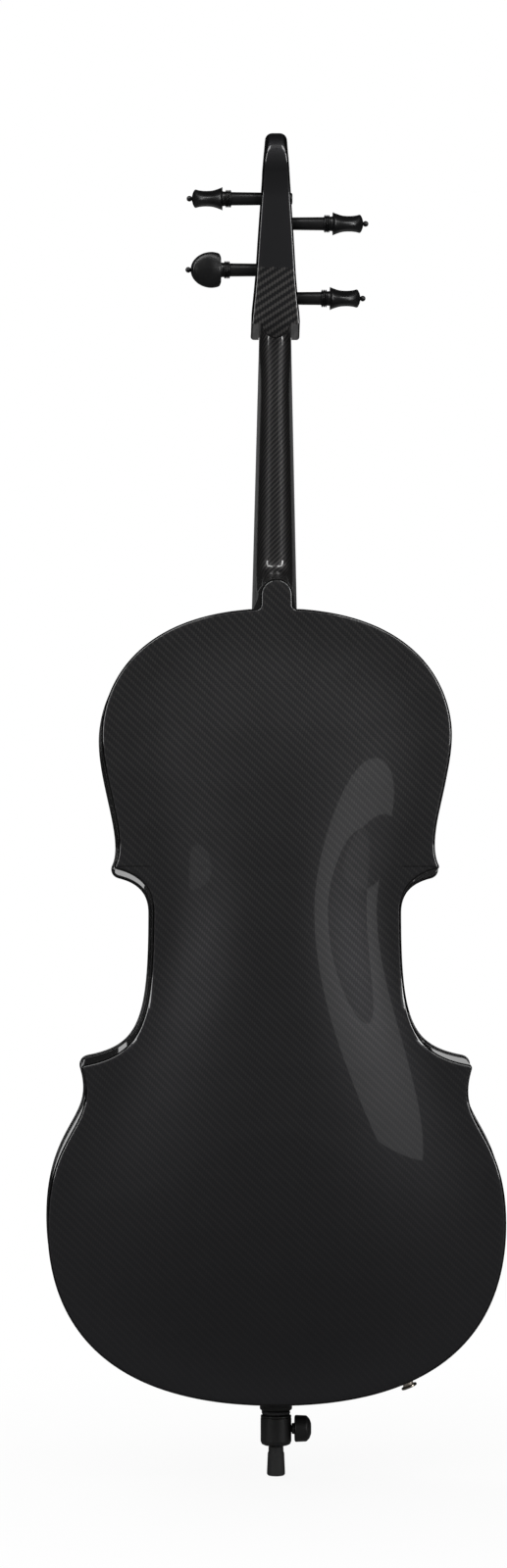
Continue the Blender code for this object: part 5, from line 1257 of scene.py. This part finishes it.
def metal(name, tone, roughness, streak, grain, metallic=1.0):
    """Plated or drawn metal: rubbing marks that run along one way dull the shine in places. Under
    one, metallic stands for the dull haze of a satin plating."""
    material, tree, shader = finish_tree(name)
    place = add(tree, "ShaderNodeMapping", {"Vector": add(tree, "ShaderNodeTexCoord").outputs["Object"],
                                            "Scale": streak})
    marks = add(tree, "ShaderNodeTexNoise", {"Vector": place.outputs[0], "Scale": grain, "Detail": 5.0})
    colour = add(tree, "ShaderNodeMix", {0: marks.outputs["Fac"], 6: srgb(tone[0]), 7: srgb(tone[1])},
                 data_type="RGBA").outputs[2]
    rough = add(tree, "ShaderNodeMapRange", {0: marks.outputs["Fac"], 3: roughness * 0.7, 4: roughness * 1.4})
    tree.links.new(colour, shader.inputs["Base Color"])
    tree.links.new(rough.outputs[0], shader.inputs["Roughness"])
    shader.inputs["Metallic"].default_value = metallic
    return material


nickel = metal("nickel plating", ("b9b2a6", "8e877c"), 0.22, (1, 1, 0.1), 800.0)


def ridge_tree():
    """Geometry Nodes: short ridges that stand round a circle, joined to what they grip."""
    tree = bpy.data.node_groups.new("knurled ridges", "GeometryNodeTree")
    face = tree.interface
    face.new_socket("Head", in_out="INPUT", socket_type="NodeSocketGeometry")
    for socket, kind in (("Count", "NodeSocketInt"), ("Radius", "NodeSocketFloat"), ("Width", "NodeSocketFloat"),
                         ("Length", "NodeSocketFloat"), ("Centre", "NodeSocketVector"),
                         ("Turn", "NodeSocketRotation"), ("Finish", "NodeSocketMaterial")):
        face.new_socket(socket, in_out="INPUT", socket_type=kind)
    face.new_socket("Geometry", in_out="OUTPUT", socket_type="NodeSocketGeometry")
    given = add(tree, "NodeGroupInput").outputs
    circle = add(tree, "GeometryNodeMeshCircle", {"Vertices": given["Count"], "Radius": given["Radius"]})
    size = add(tree, "ShaderNodeCombineXYZ", {0: given["Width"], 1: given["Width"], 2: given["Length"]})
    ridge = add(tree, "GeometryNodeMeshCube", {"Size": size.outputs[0]})
    facing = add(tree, "FunctionNodeAlignRotationToVector", {"Vector": add(tree, "GeometryNodeInputPosition").outputs[0]},
                 axis="X", pivot_axis="Z")
    round_it = add(tree, "GeometryNodeInstanceOnPoints", {"Points": circle.outputs[0], "Instance": ridge.outputs[0],
                                                          "Rotation": facing.outputs[0]})
    real = add(tree, "GeometryNodeRealizeInstances", {"Geometry": round_it.outputs[0]})
    placed = add(tree, "GeometryNodeTransform", {"Geometry": real.outputs[0], "Translation": given["Centre"],
                                                 "Rotation": given["Turn"]})
    both = add(tree, "GeometryNodeJoinGeometry", {"Geometry": placed.outputs[0]})
    tree.links.new(given["Head"], both.inputs[0])
    done = add(tree, "GeometryNodeSetMaterial", {"Geometry": both.outputs[0], "Material": given["Finish"]})
    add(tree, "NodeGroupOutput", {0: done.outputs[0]})
    return tree


def grow(made, tree, **values):
    """Runs a tree on a piece with its named inputs, and keeps the result as the piece's plain mesh."""
    change = made.modifiers.new("grow", "NODES")
    change.node_group = tree
    for item in tree.interface.items_tree:
        if item.in_out == "INPUT" and item.name in values:
            change[item.identifier] = values[item.name]
    return settle(made)


RIDGES = ridge_tree()
tailpiece = make_tailpiece()


def make_tuner(name, x):
    up, low, thick = tail_crown(x, PIVOT_AT), -LEVER_DROP, 2.4 * MM
    outline = [(PIVOT_AT - 4.5 * MM, up + HOOK), (PIVOT_AT - 1 * MM, up + HOOK + 1 * MM), (PIVOT_AT + 3.5 * MM, up),
               (PIVOT_AT + 4.5 * MM, low), (SCREW_AT + 5 * MM, low - 1.5 * MM),
               (SCREW_AT + 5 * MM, low - 1.5 * MM - thick), (PIVOT_AT, low - thick), (PIVOT_AT - 4.5 * MM, low + 2 * MM),
               (PIVOT_AT - 3.5 * MM, up)]
    lever = soften(prism(f"lever_{name}", outline, lambda u, v, h: tail_point(x + h, u, v), -BLADE / 2, BLADE / 2,
                         nickel), 0.4 * MM)
    slot = [(12 * MM, 20 * MM), (34 * MM, 20 * MM), (34 * MM, -20 * MM), (12 * MM, -20 * MM)]
    cut_out(tailpiece, prism("slot", slot, lambda u, v, h: tail_point(x + h, u, v), -BLADE / 2 - GAP, BLADE / 2 + GAP,
                             plug_black))
    own = axis_frame(tail_point(x, SCREW_AT, 0), TAIL_UP, (1, 0, 0))
    base = tail_crown(x, SCREW_AT) + 4 * MM
    tip_at = low - 1.5 * MM * (SCREW_AT - PIVOT_AT - 4.5 * MM) / (SCREW_AT - PIVOT_AT) + 2 * GAP
    corners = [(tip_at, 0), (tip_at, 1.5 * MM), (base, 1.5 * MM), (base, 4.3 * MM), (base + 0.5 * MM, 4.6 * MM),
               (base + 4.5 * MM, 4.6 * MM), (base + 5 * MM, 4.0 * MM), (base + 5 * MM, 0)]
    screw = turned(f"screw_{name}", rounded_profile(corners, 0.3 * MM), own, nickel, 36)
    grow(screw, RIDGES, Count=28, Radius=4.5 * MM, Width=0.55 * MM, Length=3.6 * MM,
         Centre=own @ Vector((base + 2.5 * MM, 0, 0)), Turn=TAIL_UP.to_track_quat("Z", "Y").to_euler(), Finish=nickel)
    bore = [(-TAIL_THICK - 5 * MM, 0), (-TAIL_THICK - 5 * MM, 1.86 * MM), (15 * MM, 1.86 * MM), (15 * MM, 0)]
    cut_out(tailpiece, turned("bore", bore, own, plug_black, 24))
    for made, node, body in ((lever, f"tuner_lever_{name}", f"{name}_lever"),
                             (screw, f"tuner_screw_{name}", f"{name}_screw")):
        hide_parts(node)
        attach(made, body)


for index, (name, *rest) in enumerate(STRINGS):
    make_tuner(name, (1.5 - index) * 13.4 * MM)
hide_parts("tailpiece")
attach(tailpiece, "instrument")

# Saddle
# A small black block let into the lower edge, so the tail cord doesn't press on the top.
FRONT_LOW, SADDLE_BASE, SADDLE_HIGH = BODY_BOTTOM - RIB_LEAN - 1.5 * MM, FRONT_EDGE + GAP, 8 * MM
saddle_outline = [(FRONT_LOW + 2 * MM, SADDLE_BASE), (FRONT_LOW + 2 * MM, SADDLE_BASE + SADDLE_HIGH - 3 * MM),
                  (FRONT_LOW + 4 * MM, SADDLE_BASE + SADDLE_HIGH - 0.8 * MM),
                  (FRONT_LOW + 7 * MM, SADDLE_BASE + SADDLE_HIGH),
                  (FRONT_LOW + 12 * MM, SADDLE_BASE + SADDLE_HIGH - 2 * MM), (FRONT_LOW + 12 * MM, SADDLE_BASE)]
# The saddle shares the board's lighter grey: painted sheen.
saddle = soften(prism("saddle_block", saddle_outline, lambda u, v, h: Vector((h, v, u)), -17 * MM, 17 * MM,
                      board_black_painted_sheen), 0.7 * MM, 25)
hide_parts("saddle")
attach(saddle, "instrument")

# Tail cord
# A braided black cord that runs from the tailpiece over the saddle and round the plug's groove.
CORD_RADIUS = 1.9 * MM


def path_tree():
    """Geometry Nodes: a round wire along a path. Each point keeps how far along and round it is."""
    tree = bpy.data.node_groups.new("wire along a path", "GeometryNodeTree")
    face = tree.interface
    face.new_socket("Path", in_out="INPUT", socket_type="NodeSocketGeometry")
    for socket, kind in (("Radius", "NodeSocketFloat"), ("Sides", "NodeSocketInt"), ("Finish", "NodeSocketMaterial")):
        face.new_socket(socket, in_out="INPUT", socket_type=kind)
    face.new_socket("Geometry", in_out="OUTPUT", socket_type="NodeSocketGeometry")
    given = add(tree, "NodeGroupInput").outputs
    curve = add(tree, "GeometryNodeMeshToCurve", {"Mesh": given["Path"]})
    measure = add(tree, "GeometryNodeSplineParameter")
    walked = add(tree, "GeometryNodeStoreNamedAttribute", {"Geometry": curve.outputs[0], "Name": "walked",
                                                           "Value": measure.outputs["Length"]})
    ring = add(tree, "GeometryNodeCurvePrimitiveCircle", {"Resolution": given["Sides"], "Radius": given["Radius"]})
    around = add(tree, "GeometryNodeStoreNamedAttribute", {"Geometry": ring.outputs[0], "Name": "around",
                                                           "Value": measure.outputs["Factor"]})
    skin = add(tree, "GeometryNodeCurveToMesh", {"Curve": walked.outputs[0], "Profile Curve": around.outputs[0],
                                                 "Fill Caps": True})
    real = add(tree, "GeometryNodeRealizeInstances", {"Geometry": skin.outputs[0]})
    done = add(tree, "GeometryNodeSetMaterial", {"Geometry": real.outputs[0], "Material": given["Finish"]})
    add(tree, "NodeGroupOutput", {0: done.outputs[0]})
    return tree


PATHS = path_tree()


def rounded_path(corners, bend, steps=8):
    """A line whose corners are turned with short curves."""
    path = [corners[0]]
    for before, corner, after in zip(corners, corners[1:], corners[2:]):
        start = corner + (before - corner).normalized() * min(bend, (before - corner).length * 0.45)
        end = corner + (after - corner).normalized() * min(bend, (after - corner).length * 0.45)
        for k in range(steps + 1):
            t = k / steps
            path.append((1 - t) ** 2 * start + 2 * t * (1 - t) * corner + t * t * end)
    return path + [corners[-1]]


def wire(name, points, radius, sides, finish):
    mesh = bpy.data.meshes.new(name)
    mesh.from_pydata([tuple(p) for p in points], [(k, k + 1) for k in range(len(points) - 1)], [])
    made = bpy.data.objects.new(name, mesh)
    bpy.context.scene.collection.objects.link(made)
    grow(made, PATHS, Radius=radius, Sides=sides, Finish=finish)
    made.data.shade_smooth()
    made.data.set_sharp_from_angle(angle=math.radians(50))
    return made


def laid(name, tones, pitch, strands, metallic, roughness, depth):
    """Strands laid round a core at a steep angle: a ribbed surface whose colour darkens in the lines between the
    strands, painted shade in the grooves.
    """
    material, tree, shader = finish_tree(name)
    walked = add(tree, "ShaderNodeAttribute", attribute_name="walked").outputs["Fac"]
    around = add(tree, "ShaderNodeAttribute", attribute_name="around").outputs["Fac"]
    turn = calc(tree, "MULTIPLY_ADD", walked, 1 / pitch, calc(tree, "MULTIPLY", around, float(strands)))
    rib = calc(tree, "SINE", calc(tree, "MULTIPLY", calc(tree, "FRACT", turn), math.pi))
    wear = add(tree, "ShaderNodeTexNoise", {"Vector": add(tree, "ShaderNodeTexCoord").outputs["Object"],
                                            "Scale": 60.0, "Detail": 3.0})
    # The colour runs dark towards each groove between strands: painted shade, with random wear in the tone.
    share = calc(tree, "MULTIPLY", calc(tree, "POWER", rib, 0.4),
                 calc(tree, "MULTIPLY_ADD", wear.outputs["Fac"], 0.5, 0.75))
    colour = add(tree, "ShaderNodeMix", {0: share, 6: srgb(tones[0]), 7: srgb(tones[1])}, data_type="RGBA").outputs[2]
    bump = add(tree, "ShaderNodeBump", {"Height": rib, "Distance": depth, "Strength": 0.6})
    tree.links.new(colour, shader.inputs["Base Color"])
    tree.links.new(bump.outputs[0], shader.inputs["Normal"])
    shader.inputs["Metallic"].default_value = metallic
    shader.inputs["Roughness"].default_value = roughness
    return material


def tail_cord_path():
    lane, around, low = 9 * MM, 9.6 * MM + CORD_RADIUS + GAP, (GROOVE_BASE + RING_BASE) / 2
    end = tail_point(lane, TAIL_LONG + GAP * 2, -TAIL_THICK * 0.45)
    over = Vector((lane, SADDLE_BASE + SADDLE_HIGH + CORD_RADIUS + 5 * GAP, FRONT_LOW + 5 * MM))
    past = Vector((lane, SADDLE_BASE + SADDLE_HIGH * 0.5, FRONT_LOW - CORD_RADIUS - 5 * GAP))
    half = rounded_path([end, over, past, Vector((around, 9 * MM, low)), Vector((around, 0, low))], 5 * MM)
    loop = []
    for k in range(1, 24):
        angle = -math.pi * k / 24
        loop.append(Vector((around * math.cos(angle), around * math.sin(angle), low)))
    return half + loop + [Vector((-p.x, p.y, p.z)) for p in reversed(half)]


tail_cord = wire("braided_tail_cord", tail_cord_path(), CORD_RADIUS, 16,
                 laid("braided black cord", ("0b0b0c", "2b2b2d"), 1.5 * MM, 2, 0.0, 0.6, 0.15 * MM))
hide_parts("tail_cord")
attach(tail_cord, "instrument")

# Strings
# Four wound steel strings. Each runs from its tuner over the bridge and the nut, and turns twice
# round its peg in the pegbox.
string_steel = laid("flat-wound string steel", ("6f6f70", "c4c4c2"), 0.32 * MM, 1, 1.0, 0.3, 0.02 * MM)


def string_path(index, wire_wide, peg_a, peg_b, side, collar_at, wind_from):
    radius, column = wire_wide / 2, 1.5 - index
    nut_x, bridge_x, tuner_x = column * 7.17 * MM, column * 15.6 * MM, column * 13.4 * MM
    nut_z = NUT_Z + GAP + 6.5 * MM
    lift = GAP + 0.4 * MM
    hook = tail_point(tuner_x, PIVOT_AT - 4.5 * MM - 2 * GAP, tail_crown(tuner_x, PIVOT_AT) + HOOK * 0.75)
    over_bridge = Vector((bridge_x, BRIDGE_TOP - sagitta(abs(bridge_x)) + lift + 1.1 * radius, BRIDGE_Z))
    over_nut = Vector((nut_x, board_top(nut_x, nut_z) + 1 * MM + lift + GAP + radius, nut_z))
    centre = head_point(0, peg_a, -peg_b)
    out = (head_point(0, 0, 1) - head_point(0, 0, 0)).normalized()
    up = (head_point(0, 1, 0) - head_point(0, 0, 0)).normalized()
    turns = []
    for k in range(81):
        angle = math.tau * k / 40 - 0.12
        x = wind_from + (wire_wide + 0.45 * MM) * k / 40
        taper = (collar_at - x) / (collar_at + head_half_width(peg_a) + 1.4 * MM)
        reach = mix(6.4 * MM, 5.8 * MM, taper) + radius + 1.3 * GAP
        turns.append(centre + Vector((side * x, 0, 0)) + (out * math.cos(angle) + up * math.sin(angle)) * reach)
    turns.append(turns[-1] + (turns[-1] - turns[-2]).normalized() * wire_wide)
    arrive = turns[0] - (turns[1] - turns[0]).normalized() * wire_wide * 2
    return rounded_path([hook, over_bridge, over_nut, arrive], 3 * MM) + turns


for index, (name, wire_wide, *winding) in enumerate(STRINGS):
    made = wire(f"wound_string_{name}", string_path(index, wire_wide, *winding), wire_wide / 2, 12, string_steel)
    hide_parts(f"string_{name}")
    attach(made, "instrument")

# Jack socket
# A nickel socket for the pickup's lead, low on the bass rib: a barrel through the rib, a round cap
# with a broken edge outside, and a nut inside.
satin_nickel = metal("satin nickel plating", ("c9beb2", "a0968b"), 0.5, (1, 1, 0.1), 800.0, 0.45)
barrel = turned("barrel_tube", [(-34 * MM, 0), (-34 * MM, 5.2 * MM), (6.8 * MM, 5.2 * MM), (6.8 * MM, 3.5 * MM),
                                (-30 * MM, 3.5 * MM), (-30 * MM, 0)], JACK_FRAME, satin_nickel, 40)
cap_at = 7.1 * MM
cap_profile = rounded_profile([(cap_at + 1 * MM, 3.5 * MM), (cap_at, 3.5 * MM), (cap_at, 7.3 * MM),
                               (cap_at + 0.5 * MM, 7.8 * MM), (cap_at + 1.8 * MM, 7.8 * MM),
                               (cap_at + 2.3 * MM, 7.2 * MM), (cap_at + 2.3 * MM, 3.5 * MM),
                               (cap_at + 1 * MM, 3.5 * MM)], 0.25 * MM, 3)
cap = turned("round_cap", cap_profile, JACK_FRAME, nickel, 48)
for made, node in ((barrel, "jack_barrel"), (cap, "jack_cap")):
    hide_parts(node)
    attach(made, "instrument")

# Inside the body
# The parts that the f-holes hardly show keep their solids: a spruce bass bar and sound post, two
# glued blocks of core wood, and the nut behind the jack.
spruce = wood("planed spruce", "c8a87a", "9c7647", 1.6 * MM, 2, 900.0)
core = wood("sawn core wood", "a68a62", "7d6340", 3.0 * MM, 2, 600.0)
for node, finish in (("bass_bar", spruce), ("sound_post", spruce), ("neck_block", core), ("end_block", core),
                     ("jack_nut", nickel)):
    frame["nodes"][node].material_slots[0].material = finish
